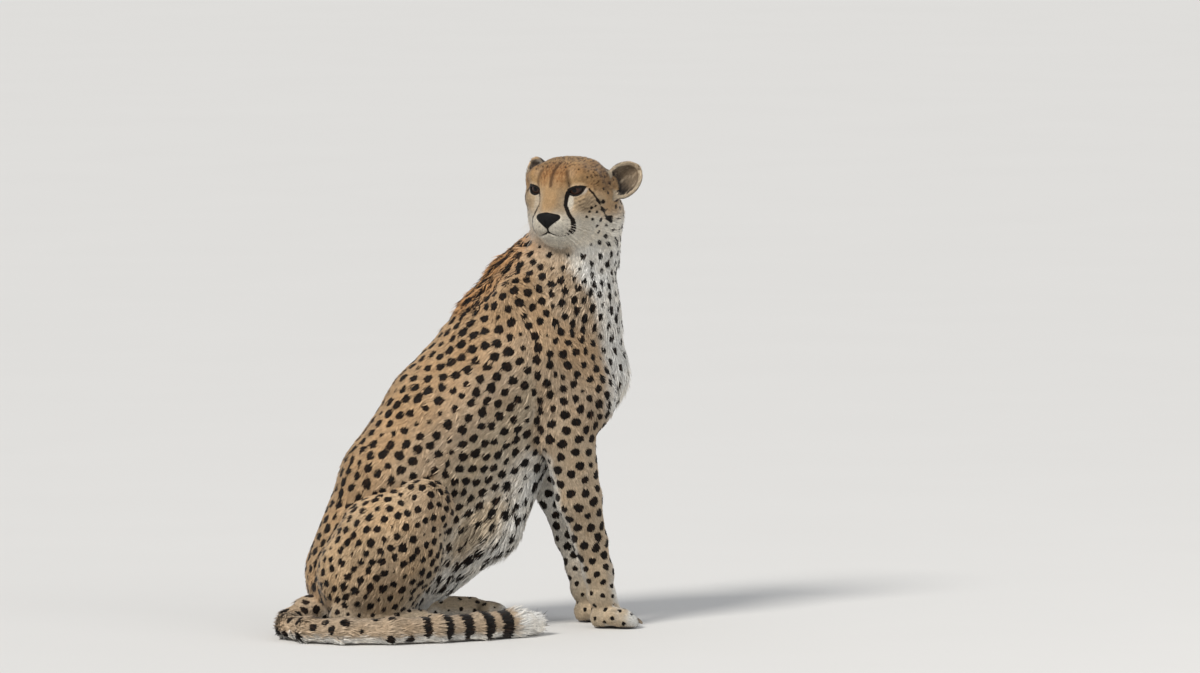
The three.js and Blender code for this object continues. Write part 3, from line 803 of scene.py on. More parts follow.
WHISKER_STARTS = np.array([[90 - 5 * column, 15 + 5.5 * column, -63 - 5 * row + 0.6 * column]
                           for row, column in WHISKER_GRID])


def onto_skin(head_points):
    return to_head(set_onto(skin_distance, from_head(head_points), 0.4 * MM, 5))


def laid(line, gap=3 * MM):
    """A line of the face, its points close together and set onto the skin."""
    line = np.array(line, dtype=float) * MM
    made = []
    for start, end in pairs(line):
        count = max(int(np.linalg.norm(end - start) / gap), 1)
        made += [start + (end - start) * step / count for step in range(count)]
    return onto_skin(np.array([*made, line[-1]]))


LIP_LINE, PHILTRUM_LINE = laid(LIPS / MM), laid(PHILTRUM / MM)
FACE_LINES = [
    (laid(TEAR_LINE[:4]), 5.0, 3.7), (laid(TEAR_LINE[3:]), 3.7, 4.4), (laid(TEAR_LINE[-3:]), 4.6, 7.2),
    (laid(SIDE_STREAK[-2:]), 0.6, 1.6), (LIP_LINE, 2.1, 1.8), (PHILTRUM_LINE, 2.2, 2.2),
]
BROW_LINE, SIDE_LINE, CHEEK_LINE = laid(BROW_STREAK), laid(SIDE_STREAK), laid(CHEEK_ROW)
CHEEK_SPOT_PLACES = onto_skin(np.array(CHEEK_SPOTS) * MM)
WHISKER_ROOTS = onto_skin(WHISKER_STARTS * MM)


def face_marks(head_points):
    """Signed distance from the tear lines, lips, cheek row, cheek spots, lid lines and the eyes' outer corners; the
    upper lid line is widened with painted shade.
    """
    folded = mirrored(head_points)
    across, height, ahead = eye_plane(folded)
    mark = np.full(len(folded), 1.0)
    for line, first, last in FACE_LINES:
        mark = np.minimum(mark, along_line(folded, line, first, last))
    thinned = (head_points[:, 1] < 0) & (folded[:, 2] > -80 * MM) & (folded[:, 1] > 14 * MM)
    mark += np.where(thinned, 2.2 * MM, 0)
    row = along_line(folded, CHEEK_LINE, 1.9, 3.7)
    broken = 1.5 * MM * np.sin(folded[:, 2] / (3.1 * MM)) * smooth(-10 * MM, -34 * MM, folded[:, 2])
    mark = np.minimum(mark, row + broken)
    for size, spot in zip(CHEEK_SPOT_SIZES, CHEEK_SPOT_PLACES):
        mark = np.minimum(mark, np.linalg.norm(folded - spot, axis=1) - size * MM)
    # The upper lid line is twice as wide as the lower one: black rim and painted shade from the lid above.
    lid_line_and_shade_width = np.where(height > 0, 5.2, 2.6) * MM
    lids = np.maximum(lid_edge(folded) - lid_line_and_shade_width, from_eye(folded) - 7 * MM)
    corner = np.maximum(np.abs(height + 0.5 * MM) - 1.6 * MM, np.abs(across - 15 * MM) - 4 * MM)
    corner = np.maximum(corner, -ahead)
    return np.minimum(mark, np.minimum(lids, corner))


def spot_rules(points, normals, shares):
    """Spacing and size of the spots about each point, and whether one may be centred there."""
    head_points = to_head(points)
    forward, out, up = (mirrored(head_points) / MM).T
    head = shares[:, -1]
    outside = smooth(-30, 20, out - forward) * smooth(10, -20, up)
    spacing = shares @ SPACING + head * outside * 8
    size = shares @ SPOT_SIZE + head * outside * 2.0
    crown = (up > 22 - 0.1 * forward) & (forward < 60)
    size -= head * 0.35 * crown
    cheek = (forward < 34) & (up < 30) & (up > -100)
    nape = (forward < -10) & (up < 40)
    ear, _, _, _ = ear_shares(head_points)
    allowed = (head < 0.5) | ((crown | cheek | nape) & (ear < 0.2))
    ventral = normals @ VENTRAL
    white = smooth(0.75, 0.95, ventral) * (shares[:, 0] + shares[:, 1]) + smooth(0.5, 0.9, ventral) * shares[:, 2]
    allowed &= RANDOM.random(len(points)) > white * 0.8
    allowed &= (shares[:, TAIL_COLUMN] < 0.5) | (tail_left(points) < SPOTTED_TAIL)
    allowed &= (points[:, 2] - SHIFT[2]) / MM > 9
    return spacing * MM, size * MM, allowed


def tree_of(points):
    tree = KDTree(len(points))
    for index, point in enumerate(np.asarray(points).tolist()):
        tree.insert(point, index)
    tree.balance()
    return tree


def nearest_in(tree, points):
    return np.array([tree.find(point)[1] for point in points.tolist()])


def kept_apart(points, spacing, allowed):
    """The rows of points taken in a random order, each as far from the others taken as their spacing asks."""
    cell = spacing.max()
    kept = []
    grid = {}
    keys = np.floor(points / cell).astype(int)
    around = [(i, j, k) for i in (-1, 0, 1) for j in (-1, 0, 1) for k in (-1, 0, 1)]
    for index in RANDOM.permutation(np.nonzero(allowed)[0]).tolist():
        i, j, k = keys[index].tolist()
        here, room = points[index], spacing[index]
        others = (other for a, b, c in around for other in grid.get((i + a, j + b, k + c), ()))
        if all(((points[other] - here) ** 2).sum() >= (0.41 * (room + spacing[other])) ** 2 for other in others):
            grid.setdefault((i, j, k), []).append(index)
            kept.append(index)
    return kept


def scatter_spots(points, normals, shares, lie):
    """Spot centres kept apart by their spacing, then evened out. Returns what spot_distance needs of them."""
    spacing, size, allowed = spot_rules(points, normals, shares)
    centres = points[kept_apart(points, spacing, allowed)]
    some = points[::2]
    weight = 1 / spacing[::2] ** 2
    for _ in range(15):
        owner = nearest_in(tree_of(centres), some)
        total = np.maximum(np.bincount(owner, weight, len(centres)), 1e-9)
        mean = np.stack([np.bincount(owner, weight * some[:, axis], len(centres)) / total for axis in range(3)], 1)
        centres = np.where(total[:, None] > 1e-6, mean, centres)
    kept = nearest_in(tree_of(points), centres)
    centres, kept = centres[allowed[kept]], kept[allowed[kept]]
    centres -= normals[kept] * dot(centres - points[kept], normals[kept])[:, None]
    scale = RANDOM.normal(1, 0.09, len(kept)).clip(0.78, 1.16)
    scale[RANDOM.random(len(kept)) < 0.1] *= 0.62
    tree = tree_of(centres)
    between = np.array([tree.find_n(point, 2)[1][2] for point in centres.tolist()])
    radius = np.minimum(size[kept] * scale, 0.415 * between)
    return dict(centre=centres, radius=radius, way=lie[kept], normal=normals[kept],
                aspect=RANDOM.uniform(0.84, 0.96, len(kept)) * (1 + 0.9 * shares[kept, MANE_COLUMN]),
                turn=RANDOM.uniform(0, 2 * math.pi, (len(kept), 2)), tree=tree)


def spot_distance(points, normals, shares, spots):
    """Signed distance from the nearest spot, ring or face mark: below zero inside it."""
    find = spots["tree"].find_n
    nearest = np.array([[found[1] for found in find(point, 3)] for point in points.tolist()])
    mark = np.full(len(points), 0.03)
    for column in nearest.T:
        centre, radius, way, normal, aspect, turn = (
            spots[key][column] for key in ("centre", "radius", "way", "normal", "aspect", "turn"))
        offset = points - centre
        along = dot(offset, way)
        aside = np.cross(normal, way)
        across = dot(offset, aside)
        rest = np.linalg.norm(offset - way * along[:, None] - aside * across[:, None], axis=1)
        angle = np.arctan2(across, along)
        lobes = 1 + 0.06 * np.sin(2 * angle + turn[:, 0]) + 0.06 * np.sin(3 * angle + turn[:, 1])
        reach = np.sqrt((along / aspect) ** 2 + across ** 2 + 0.3 * rest ** 2)
        mark = np.where(dot(normals, normal) > 0.1, np.minimum(mark, reach - radius * lobes), mark)
    on_tail = shares[:, TAIL_COLUMN] > 0.5
    left = tail_left(points)
    for place, half in RINGS:
        open_below = 6 * MM * smooth(0.2, 0.9, -normals[:, 2]) * (place < -100)
        ring = np.abs(left - place * MM) - half * MM + open_below
        mark = np.where(on_tail, np.minimum(mark, ring), mark)
    near = np.nonzero(shares[:, -1] > 0.3)[0]
    mark[near] = np.minimum(mark[near], face_marks(to_head(points[near])))
    return mark


# ---------------------------------------------------------------- tufts and locks

# A tuft's corners: how far along it, how far aside in half widths, and how proud of its middle line.
TUFT = np.array([[0, 1, 0], [0, -1, 0], [0.38, 0, 0.42], [1, 0, 0]])
TUFT_FACES = np.array([[0, 2, 3], [1, 3, 2], [0, 1, 2], [0, 3, 1]])
LOCK = np.array([[0, 0.8, 0], [0, 0, 0.5], [0, -0.8, 0], [0.5, 1, 0], [0.5, 0, 0.6], [0.5, -1, 0], [1, 0, 0]])
LOCK_FACES = np.array([[0, 2, 1], [0, 1, 4], [0, 4, 3], [1, 2, 5], [1, 5, 4], [2, 0, 3], [2, 3, 5],
                       [3, 4, 6], [4, 5, 6], [5, 3, 6]])
MARK_PLACES = (0.08, 0.42, 0.88)  # along a tuft, where its markings are read
PATCH = 0.003  # the size of a tuft's patch on the unwrap
COAT_PIECES = dict(trunk="coat_flank", shoulder="coat_flank", belly="coat_front", chest="coat_front",
                   neck="coat_neck", mane="coat_neck", foreleg="coat_foreleg", foot="coat_foreleg",
                   thigh="coat_hindleg", shank="coat_hindleg", tail="coat_tail", head="coat_head")
SIDED_PIECES = ["coat_flank", "coat_foreleg", "coat_hindleg", "coat_head"]


def mark_weights(template):
    """How much each reading counts at each corner of a tuft: mostly its own place, partly the tuft's middle."""
    rows = np.array([[np.interp(along, MARK_PLACES, reading) for reading in np.eye(3)] for along in template[:, 0]])
    return 0.7 * rows + 0.3 * np.array([0, 1, 0])


def sow(density):
    """Roots over the skin. density: to the square metre, for each quad. Returns the quads and places within them."""
    corners = skin["points"][skin["quads"]]
    area = 0.5 * np.linalg.norm(np.cross(corners[:, 2] - corners[:, 0], corners[:, 3] - corners[:, 1]), axis=1)
    expected = density * area
    count = np.floor(expected + RANDOM.random(len(expected))).astype(int)
    quad = np.repeat(np.arange(len(expected)), count)
    return quad, RANDOM.random((len(quad), 2))


def inside_quads(corners, place):
    """A value inside some quads, from its values at their four corners."""
    first, second, third, fourth = corners
    u, v = (place[:, [axis]] if first.ndim > 1 else place[:, axis] for axis in (0, 1))
    return (first * (1 - u) + second * u) * (1 - v) + (fourth * (1 - u) + third * u) * v


def bare(points, normals, head_points):
    """Where no hair grows: the soles, between the lids, the nose pad and the lips."""
    folded = mirrored(head_points)
    eye = (from_eye(folded) < 4.5 * MM) & (lid_edge(folded) < 0.6 * MM)
    nose = nose_distance(head_points) < 1.2 * MM
    lips = np.minimum(along_line(folded, LIP_LINE), along_line(folded, PHILTRUM_LINE)) < 2.4 * MM
    sole = (points[:, 2] < 7 * MM) & (normals[:, 2] < -0.55)
    return eye | nose | lips | sole | (points[:, 2] < 2.5 * MM)


def grow(density, locks):
    """Tufts or locks over the skin: their roots, ways, sizes and colours."""
    quad, place = sow(density)

    def at_root(key):
        return inside_quads([skin[key][skin["quads"][quad, corner]] for corner in range(4)], place)

    points = at_root("points")
    normals = unit(at_root("normals"))
    head_points = to_head(points)
    keep = ~bare(points, normals, head_points)
    quad, place, points, normals, head_points = (each[keep] for each in (quad, place, points, normals, head_points))
    shares, lie, depth = at_root("shares"), unit(at_root("lie")), at_root("depth")
    number = len(points)
    head = shares[:, -1]
    ear, inside, rim, _ = ear_shares(head_points)
    folded = mirrored(head_points)
    forward, _, up = folded.T
    left = tail_left(points)

    face = head * smooth(10 * MM, 70 * MM, forward)
    near_lips = smooth(12 * MM, 3 * MM, along_line(folded, LIP_LINE))
    near_eye = smooth(12 * MM, 3 * MM, from_eye(folded))
    ruff = head * smooth(-30 * MM, -70 * MM, up) * smooth(50 * MM, 0, forward)
    tip = shares[:, TAIL_COLUMN] * smooth(-90 * MM, -10 * MM, left)
    crown = head * smooth(25 * MM, 50 * MM, up) * (1 - ear)
    length = shares @ (LOCK_LENGTH if locks else LENGTH) * MM
    for change, share in ((-0.42, face), (-0.4, near_lips), (-0.5, near_eye), (0.8, ruff),
                          (0.5, inside * (head_points[:, 1] > 0)), (0.5, tip), (-0.45, rim), (0.4, crown)):
        length *= 1 + change * share
    width = shares @ WIDTH * MM * (1.25 if locks else 1)
    width *= 1 - 0.25 * face
    width *= 1 - 0.25 * near_eye
    length *= RANDOM.uniform(0.75, 1.2, number)
    width *= RANDOM.uniform(0.8, 1.2, number)

    ruffled = shares[:, MANE_COLUMN] + 0.35 * shares[:, NECK_COLUMN]
    swing = (0.22 + 0.25 * ruffled) * ripple(points, 34 * MM, 3) + (0.14 + 0.2 * ruffled) * RANDOM.normal(size=number)
    way = lie * np.cos(swing)[:, None] + np.cross(normals, lie) * np.sin(swing)[:, None]
    lift = depth * RANDOM.uniform(0.5, 0.98, number) * (1.12 if locks else 1)
    lift *= 1 + 0.9 * crown
    lift = np.minimum(lift, length * 0.75)
    tips = points + way * length[:, None]

    clumps = points[RANDOM.random(number) < (0.3 if locks else 0.045)]
    pull = clumps[nearest_in(tree_of(clumps), tips)] + lie * length[:, None] * 0.35 - tips
    pull -= normals * dot(pull, normals)[:, None]
    tips += pull * (shares @ CLUMPING)[:, None]
    way = tips - points
    length = np.linalg.norm(way, axis=1)
    way /= length[:, None]

    middle = points + way * (0.42 * length)[:, None]
    mark = np.stack([spot_distance(points + way * (share * length)[:, None], normals, shares, spots)
                     for share in MARK_PLACES], axis=1)
    return dict(quad=quad, place=place, points=points, normals=normals, way=way, length=length, width=width,
                lift=lift, mark=mark, tone=ground_tone(middle, normals, shares), shares=shares, ear=ear,
                head=head_points, tail_left=left, vary=RANDOM.random(number))


def piece_of(coat):
    """The coat piece that each tuft is part of."""
    owner = coat["shares"].argmax(1)
    x, y, _ = (coat["points"] - SHIFT).T
    names = np.array([COAT_PIECES[region] for region in REGIONS], dtype=object)[owner]
    names[(owner == REGIONS.index("foot")) & (x < 150 * MM)] = "coat_hindleg"
    left = np.where(names == "coat_head", coat["head"][:, 1], y) > 0
    sided = np.isin(names, SIDED_PIECES)
    names[sided] += np.where(left, "_left", "_right").astype(object)[sided]
    names[(names == "coat_tail") & (coat["tail_left"] > -60 * MM)] = "coat_tail_end"
    names[coat["ear"] > 0.6] = "coat_ears"
    return names


def tuft_shapes(coat, template):
    """Corners and shading normals of every tuft, from its template."""
    along, aside, proud = template.T
    normals, way = coat["normals"][:, None], coat["way"][:, None]
    side = np.cross(coat["normals"], coat["way"])[:, None]
    length, width, lift, vary = (coat[key][:, None] for key in ("length", "width", "lift", "vary"))
    rise = 1 - (1 - along) ** 2
    sink = 0.7 * MM
    height = lift * rise - sink * (1 - rise) + proud * width * 0.5
    corners = coat["points"][:, None] + way * (length * along)[:, :, None]
    corners += side * (width * 0.5 * aside)[:, :, None] + normals * height[:, :, None]
    corners += side * (0.16 * (vary - 0.5) * length * along ** 2)[:, :, None]
    corners[:, :, 2] = np.maximum(corners[:, :, 2], 0.4 * MM)
    shading = normals + side * (0.55 * aside)[:, None] + way * (0.08 + 0.25 * along)[:, None]
    return corners, unit(shading)


def unwrap(faces):
    """A flat unwrap of some of the skin's faces, from its own shape: a place for each corner of each face."""
    points, quads, _ = compact(skin["points"], skin["quads"][faces])
    piece = mesh_object("unwrap", points, quads)
    bpy.context.view_layer.objects.active = piece
    piece.select_set(True)
    bpy.ops.object.mode_set(mode="EDIT")
    bpy.ops.mesh.select_all(action="SELECT")
    bpy.ops.uv.smart_project(angle_limit=math.radians(66), island_margin=0.004)
    bpy.ops.object.mode_set(mode="OBJECT")
    flat = np.zeros(quads.size * 2, dtype=np.float32)
    piece.data.uv_layers[0].uv.foreach_get("vector", flat)
    mesh = piece.data
    bpy.data.objects.remove(piece)
    bpy.data.meshes.remove(mesh)
    return flat.reshape(-1, 4, 2)


def coat_piece(name, parts):
    """One piece of coat from its tufts and its locks, each coloured and unwrapped at its root."""
    faces, face_row = np.unique(np.concatenate([coat["quad"] for coat, _, _ in parts]), return_inverse=True)
    flat = unwrap(faces)
    made = []
    base = 0
    row = 0
    for coat, template, template_faces in parts:
        number = len(coat["quad"])
        each = len(template)
        shape, shading = tuft_shapes(coat, template)
        root = inside_quads(flat[face_row[row:row + number]].swapaxes(0, 1), coat["place"])
        patch = np.stack([template[:, 0] - 0.5, template[:, 1] * 0.5], axis=1) * PATCH
        made.append(dict(
            corners=shape.reshape(-1, 3), normals=shading.reshape(-1, 3),
            triangles=(template_faces[None] + np.arange(number)[:, None, None] * each + base).reshape(-1, 3),
            flat=(root[:, None] + patch).reshape(-1, 2), tone=np.repeat(coat["tone"], each, 0),
            spot=(coat["mark"] @ mark_weights(template).T / MM).ravel(),
            vary=np.repeat(coat["vary"], each), along=np.tile(template[:, 0], number)))
        base += number * each
        row += number
    whole = {key: np.concatenate([part[key] for part in made]) for key in made[0]}
    corners, normals, triangles, flat = (whole.pop(key) for key in ("corners", "normals", "triangles", "flat"))
    piece = mesh_piece(name, corners, triangles, coat_material, normals, whole)
    layer = piece.data.uv_layers.new(name="OFBake")
    layer.uv.foreach_set("vector", flat[triangles.ravel()].astype(np.float32).ravel())
    {"coat_tail_end": "tail_end_fur", "coat_ears": "ear_fur"}.get(name, "coat")


# ---------------------------------------------------------------- meshes


def in_scene(name, data):
    thing = bpy.data.objects.new(name, data)
    bpy.context.scene.collection.objects.link(thing)
    return thing


def mesh_object(name, points, faces, values=None):
    """A mesh object made from arrays. faces: one array of triangles or quads. values: one for each point."""
    mesh = bpy.data.meshes.new(name)
    corners = faces.shape[1]
    mesh.vertices.add(len(points))
    mesh.vertices.foreach_set("co", np.asarray(points, dtype=np.float32).ravel())
    mesh.loops.add(faces.size)
    mesh.loops.foreach_set("vertex_index", faces.ravel().astype(np.int32))
    mesh.polygons.add(len(faces))
    mesh.polygons.foreach_set("loop_start", np.arange(len(faces), dtype=np.int32) * corners)
    mesh.update(calc_edges=True)
    for key, value in (values or {}).items():
        value = np.asarray(value, dtype=np.float32)
        if value.ndim == 2:
            value = np.column_stack([value, np.ones(len(value), dtype=np.float32)])
            mesh.attributes.new(key, "FLOAT_COLOR", "POINT").data.foreach_set("color", value.ravel())
        else:
            mesh.attributes.new(key, "FLOAT", "POINT").data.foreach_set("value", value)
    return in_scene(name, mesh)


def mesh_piece(name, points, faces, material, normals=None, values=None):
    """A mesh of the animal: smooth, on the part's one body, with its material."""
    piece = mesh_object(name, points, faces, values)
    piece.data.shade_smooth()
    if normals is not None:
        piece.data.normals_split_custom_set_from_vertices(normals.tolist())
    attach(piece, "root")
    piece.data.materials.append(material)
    return piece


# ---------------------------------------------------------------- materials


class Shader:
    """A material's nodes, with short ways to add and join them."""

    def __init__(self, name, roughness, specular=0.5, **inputs):
        self.material = bpy.data.materials.new(name)
        self.material.use_nodes = True
        self.nodes = self.material.node_tree.nodes
        self.surface = self.nodes["Principled BSDF"]
        for key, value in dict(Roughness=roughness, **{"Specular IOR Level": specular}, **inputs).items():
            self.surface.inputs[key.replace("_", " ")].default_value = value

    def node(self, kind, settings=(), **inputs):
        """A new node. settings: of the node itself. inputs: values or sockets, by name."""
        node = self.nodes.new("ShaderNode" + kind)
        for key, value in dict(settings).items():
            setattr(node, key, value)
        for key, value in inputs.items():
            self.put(node.inputs[key.replace("_", " ")], value)
        return node

    def put(self, target, value):
        if isinstance(value, bpy.types.NodeSocket):
            self.material.node_tree.links.new(value, target)
        else:
            target.default_value = value

    def attribute(self, name, output="Fac"):
        return self.node("Attribute", dict(attribute_name=name)).outputs[output]

    def place(self):
        return self.node("TexCoord").outputs["Object"]

    def math(self, operation, first, second):
        node = self.node("Math", dict(operation=operation))
        self.put(node.inputs[0], first)
        self.put(node.inputs[1], second)
        return node.outputs[0]

    def times(self, first, second):
        return self.math("MULTIPLY", first, second)

    def noise(self, scale, detail=2.0, roughness=0.5, stretch=None):
        place = self.place()
        if stretch:
            place = self.node("Mapping", Scale=stretch, Vector=place).outputs["Vector"]
        return self.node("TexNoise", Vector=place, Scale=scale, Detail=detail, Roughness=roughness).outputs["Fac"]

    def ranged(self, value, low, high, first=0.0, last=1.0):
        """The value, carried smoothly from one range to another."""
        node = self.node("MapRange", dict(interpolation_type="SMOOTHSTEP"), Value=value, From_Min=low, From_Max=high,
                         To_Min=first, To_Max=last)
        return node.outputs["Result"]

    def mix(self, share, first, second, blend="MIX"):
        node = self.node("Mix", dict(data_type="RGBA", blend_type=blend))
        for index, value in ((0, share), (6, first), (7, second)):
            value = (*value, 1.0) if isinstance(value, (tuple, np.ndarray)) else value
            self.put(node.inputs[index], value)
        return node.outputs[2]

    def scaled(self, tone, factor):
        node = self.node("VectorMath", dict(operation="SCALE"), Scale=factor)
        self.put(node.inputs[0], tone)
        return node.outputs[0]

    def bump(self, height, strength, distance):
        node = self.node("Bump", Strength=strength, Distance=distance, Height=height)
        self.put(self.surface.inputs["Normal"], node.outputs["Normal"])

    def finish(self, tone):
        self.put(self.surface.inputs["Base Color"], tone)
        return self.material


def fur_material(name, tufts):
    """Ground colour and spots from the surface's own values, broken up as hair is."""
    shader = Shader(name, 0.72, 0.22, Sheen_Weight=0.12, Sheen_Roughness=0.45)
    wobble = shader.times(shader.math("SUBTRACT", shader.noise(260), 0.5), 1.6 if tufts else 3.0)
    inside = shader.ranged(shader.math("ADD", shader.attribute("spot"), wobble), -0.5, 0.5, 1.0, 0.0)
    patches = shader.ranged(shader.noise(11, 3, 0.6), 0.3, 0.7, 0.88, 1.1)
    ticking = shader.ranged(shader.noise(190, 3, 0.7), 0.3, 0.75, 0.84, 1.14)
    bright = shader.times(patches, ticking)
    vary = shader.attribute("vary")
    if tufts:
        bright = shader.times(bright, shader.ranged(vary, 0.0, 1.0, 0.84, 1.12))
        bright = shader.times(bright, shader.ranged(shader.attribute("along"), 0.0, 0.8, 0.78, 1.06))
    else:
        bright = shader.times(bright, 0.86)
    ground = shader.scaled(shader.attribute("tone", "Color"), bright)
    warm = shader.mix(shader.ranged(shader.noise(23), 0.35, 0.75, 0.0, 0.34), ground,
                      shader.mix(1.0, ground, (1.0, 0.86, 0.68), "MULTIPLY"))
    dark = shader.mix(shader.ranged(vary, 0.55, 1.0), colour(15, 10, 7), colour(48, 30, 17))
    shader.bump(shader.noise(700, 2, 0.6), 0.35, 0.0009)
    return shader.finish(shader.mix(inside, warm, dark))


def nose_material():
    shader = Shader("nose_leather", 0.5, 0.16)
    cells = shader.node("TexVoronoi", dict(feature="DISTANCE_TO_EDGE"), Scale=620, Vector=shader.place())
    shader.bump(shader.ranged(cells.outputs["Distance"], 0.0, 0.25), 0.5, 0.0005)
    return shader.finish(shader.mix(shader.noise(90, 3), colour(5, 5, 6), colour(15, 14, 14)))


def eye_material():
    """Pupil, streaked iris painted dark brown with the brow's shade in it, dark ring and dark rim, by how far each
    point is from the eye's axis.
    """
    shader = Shader("eye", 0.5, 0.05, Coat_Weight=0.3, Coat_Roughness=0.05)
    turned = shader.attribute("turned")
    streaks = shader.times(shader.math("SUBTRACT", shader.attribute("streak"), 0.5), 0.5)
    # Painted shade: the iris is painted dark brown, much darker than a cheetah's amber, to carry the brow's shade
    # over it.
    inner = shader.mix(shader.ranged(turned, 16, 40), colour(56, 38, 30), colour(34, 24, 21))
    iris = shader.scaled(inner, shader.math("ADD", 1.0, streaks))
    ringed = shader.mix(shader.ranged(turned, 40, 47), iris, colour(22, 13, 10))
    speckled = shader.mix(shader.times(shader.noise(900, 3), 0.25), ringed, colour(60, 34, 20))
    return shader.finish(shader.mix(shader.ranged(turned, 12.5, 14.5, 1.0, 0.0), speckled, colour(6, 5, 5)))


def claw_material():
    shader = Shader("claw", 0.38)
    tone = shader.mix(shader.ranged(shader.attribute("along"), 0.3, 1.0), colour(70, 58, 48), colour(150, 134, 112))
    shader.bump(shader.noise(180, 3, 0.6, (1, 1, 4)), 0.25, 0.0006)
    return shader.finish(shader.mix(shader.noise(120, 3), tone, colour(90, 76, 62)))


def whisker_material():
    shader = Shader("whisker", 0.35)
    tone = shader.mix(shader.attribute("along"), colour(206, 196, 180), colour(240, 236, 226))
    return shader.finish(shader.mix(shader.times(shader.noise(200), 0.3), tone, colour(190, 178, 158)))


# ---------------------------------------------------------------- nose, eyes, claws and whiskers

NOSTRIL = np.array([[99, 8, -60], [96, 14, -59], [91, 20, -55], [88, 24, -51]], dtype=float)
NOSTRIL_RADII = (3.3, 3.2, 2.3, 1.3)
NOSE_MIDDLE = np.array([83, 0, -56])
EYE_COLUMNS = 72


def nose_distance(head_points):
    """The nose pad: a three-cornered patch on the muzzle's end, with its nostrils and its middle groove."""
    folded = mirrored(head_points) / MM
    out, up = folded[:, 1], folded[:, 2] + 56
    pad = (np.linalg.norm((folded - NOSE_MIDDLE) / [25.5, 32, 30.5], axis=1) - 1) * 28
    top = up - 14 + 0.009 * out ** 2 - 1.0 * np.exp(-(out / 7) ** 2)
    bottom = (-17.5 + 18 * (np.clip(out - 1.5, 0, 22) / 22) ** 0.8 - up) * 0.8
    side = out - 25 + 0.04 * (up - 3) ** 2
    for face in (top, bottom, side):
        pad = -soft_min(-pad, -face, 4.0)
    holes = np.full(len(folded), 50.0)
    for (start, end), (first, last) in zip(pairs(NOSTRIL), pairs(NOSTRIL_RADII)):
        share, reach = nearest_on(start, end, folded)
        holes = soft_min(holes, reach - first - share * (last - first), 1.5)
    pad = -soft_min(-pad, holes, 1.2)
    groove = out + np.maximum(up + 2, 0) * 0.6
    return (pad + 1.4 * np.exp(-(groove / 1.2) ** 2)) * MM


def make_nose():
    def field(head_points):
        return np.maximum(nose_distance(head_points), -skin_distance(from_head(head_points)) - 4.5 * MM)

    points, quads, _ = compact(*surface_net(NOSE_LOW, NOSE_HIGH, NOSE_CELL, field))
    nose = mesh_piece("nose_pad", from_head(points), quads, nose_material())
    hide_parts("nose")


def make_eye(side, material):
    """An eye ball about its own axis, its clear front swelling a little over the iris."""
    gaze = unit(np.array([0.975, side * 0.16, -0.03]))
    across = unit(np.cross([0.0, 0.0, 1.0], gaze))
    upward = np.cross(gaze, across)
    middle = EYE_CENTRE * [1, side, 1]
    turns = np.concatenate([np.linspace(0.4, 56, 44), np.linspace(60, 178, 22)])
    around = np.arange(EYE_COLUMNS) * 2 * math.pi / EYE_COLUMNS
    turned, angle = (each.ravel() for each in np.meshgrid(turns, around, indexing="ij"))
    swell = 1.5 * MM * np.cos(np.radians(np.clip(turned / 50, 0, 1) * 90)) ** 2
    radius = EYE_RADIUS - 0.15 * MM + swell
    lean = np.radians(turned)
    local = np.stack([np.cos(lean), np.sin(lean) * np.cos(angle), np.sin(lean) * np.sin(angle)], axis=1)
    points = middle + (local * radius[:, None]) @ np.stack([gaze, across, upward])
    poles = middle + np.array([gaze * (EYE_RADIUS + 1.35 * MM), -gaze * EYE_RADIUS])
    name = "left" if side > 0 else "right"
    streak = 0.5 + 0.25 * np.sin(angle * 23 + 2 * np.sin(angle * 5)) + 0.25 * np.sin(angle * 41 + 1.3)
    values = dict(turned=np.append(turned, [0, 180]), streak=np.append(streak, [0.5, 0.5]))
    faces = tube_faces(len(turns), EYE_COLUMNS)
    eye = mesh_piece(f"eyeball_{name}", from_head(np.concatenate([points, poles])), faces, material, None, values)
    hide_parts(f"eye_{name}")


def tube_faces(rings, sides):
    """Triangles of a closed tube: its rings in order, then a point at its start and one at its end."""
    row, column = (each.ravel() for each in np.meshgrid(np.arange(rings - 1), np.arange(sides), indexing="ij"))
    first, second = row * sides + column, row * sides + (column + 1) % sides
    wall = np.stack([first, second + sides, second, first, first + sides, second + sides], axis=1).reshape(-1, 3)
    rim = np.arange(sides)
    after = (rim + 1) % sides
    start, end = np.full(sides, rings * sides), np.full(sides, rings * sides + 1)
    last = (rings - 1) * sides
    caps = np.stack([start, rim, after, end, last + after, last + rim], axis=1).reshape(-1, 3)
    return np.concatenate([wall, caps])


def swept(line, radii, sides, flatten=1.0):
    """A closed tapering tube along a line of points: corners, triangles and how far along each corner is."""
    run = unit(np.gradient(line, axis=0))
    across = unit(np.cross(run, [0.13, 0.09, 0.98]))
    upward = np.cross(run, across)
    angle = np.arange(sides) * 2 * math.pi / sides
    ring = across[:, None] * np.cos(angle)[None, :, None] * flatten + upward[:, None] * np.sin(angle)[None, :, None]
    corners = (line[:, None] + ring * radii[:, None, None]).reshape(-1, 3)
    along = np.append(np.repeat(np.linspace(0, 1, len(line)), sides), [0, 1])
    return np.concatenate([corners, line[[0]], line[[-1]]]), tube_faces(len(line), sides), along


def joined(name, tubes, material):
    """Many tubes as one piece."""
    points, triangles, along = zip(*tubes)
    bases = np.cumsum([0, *(len(corners) for corners in points[:-1])])
    triangles = np.concatenate([faces + base for faces, base in zip(triangles, bases)])
    piece = mesh_piece(name, np.concatenate(points), triangles, material, None, dict(along=np.concatenate(along)))


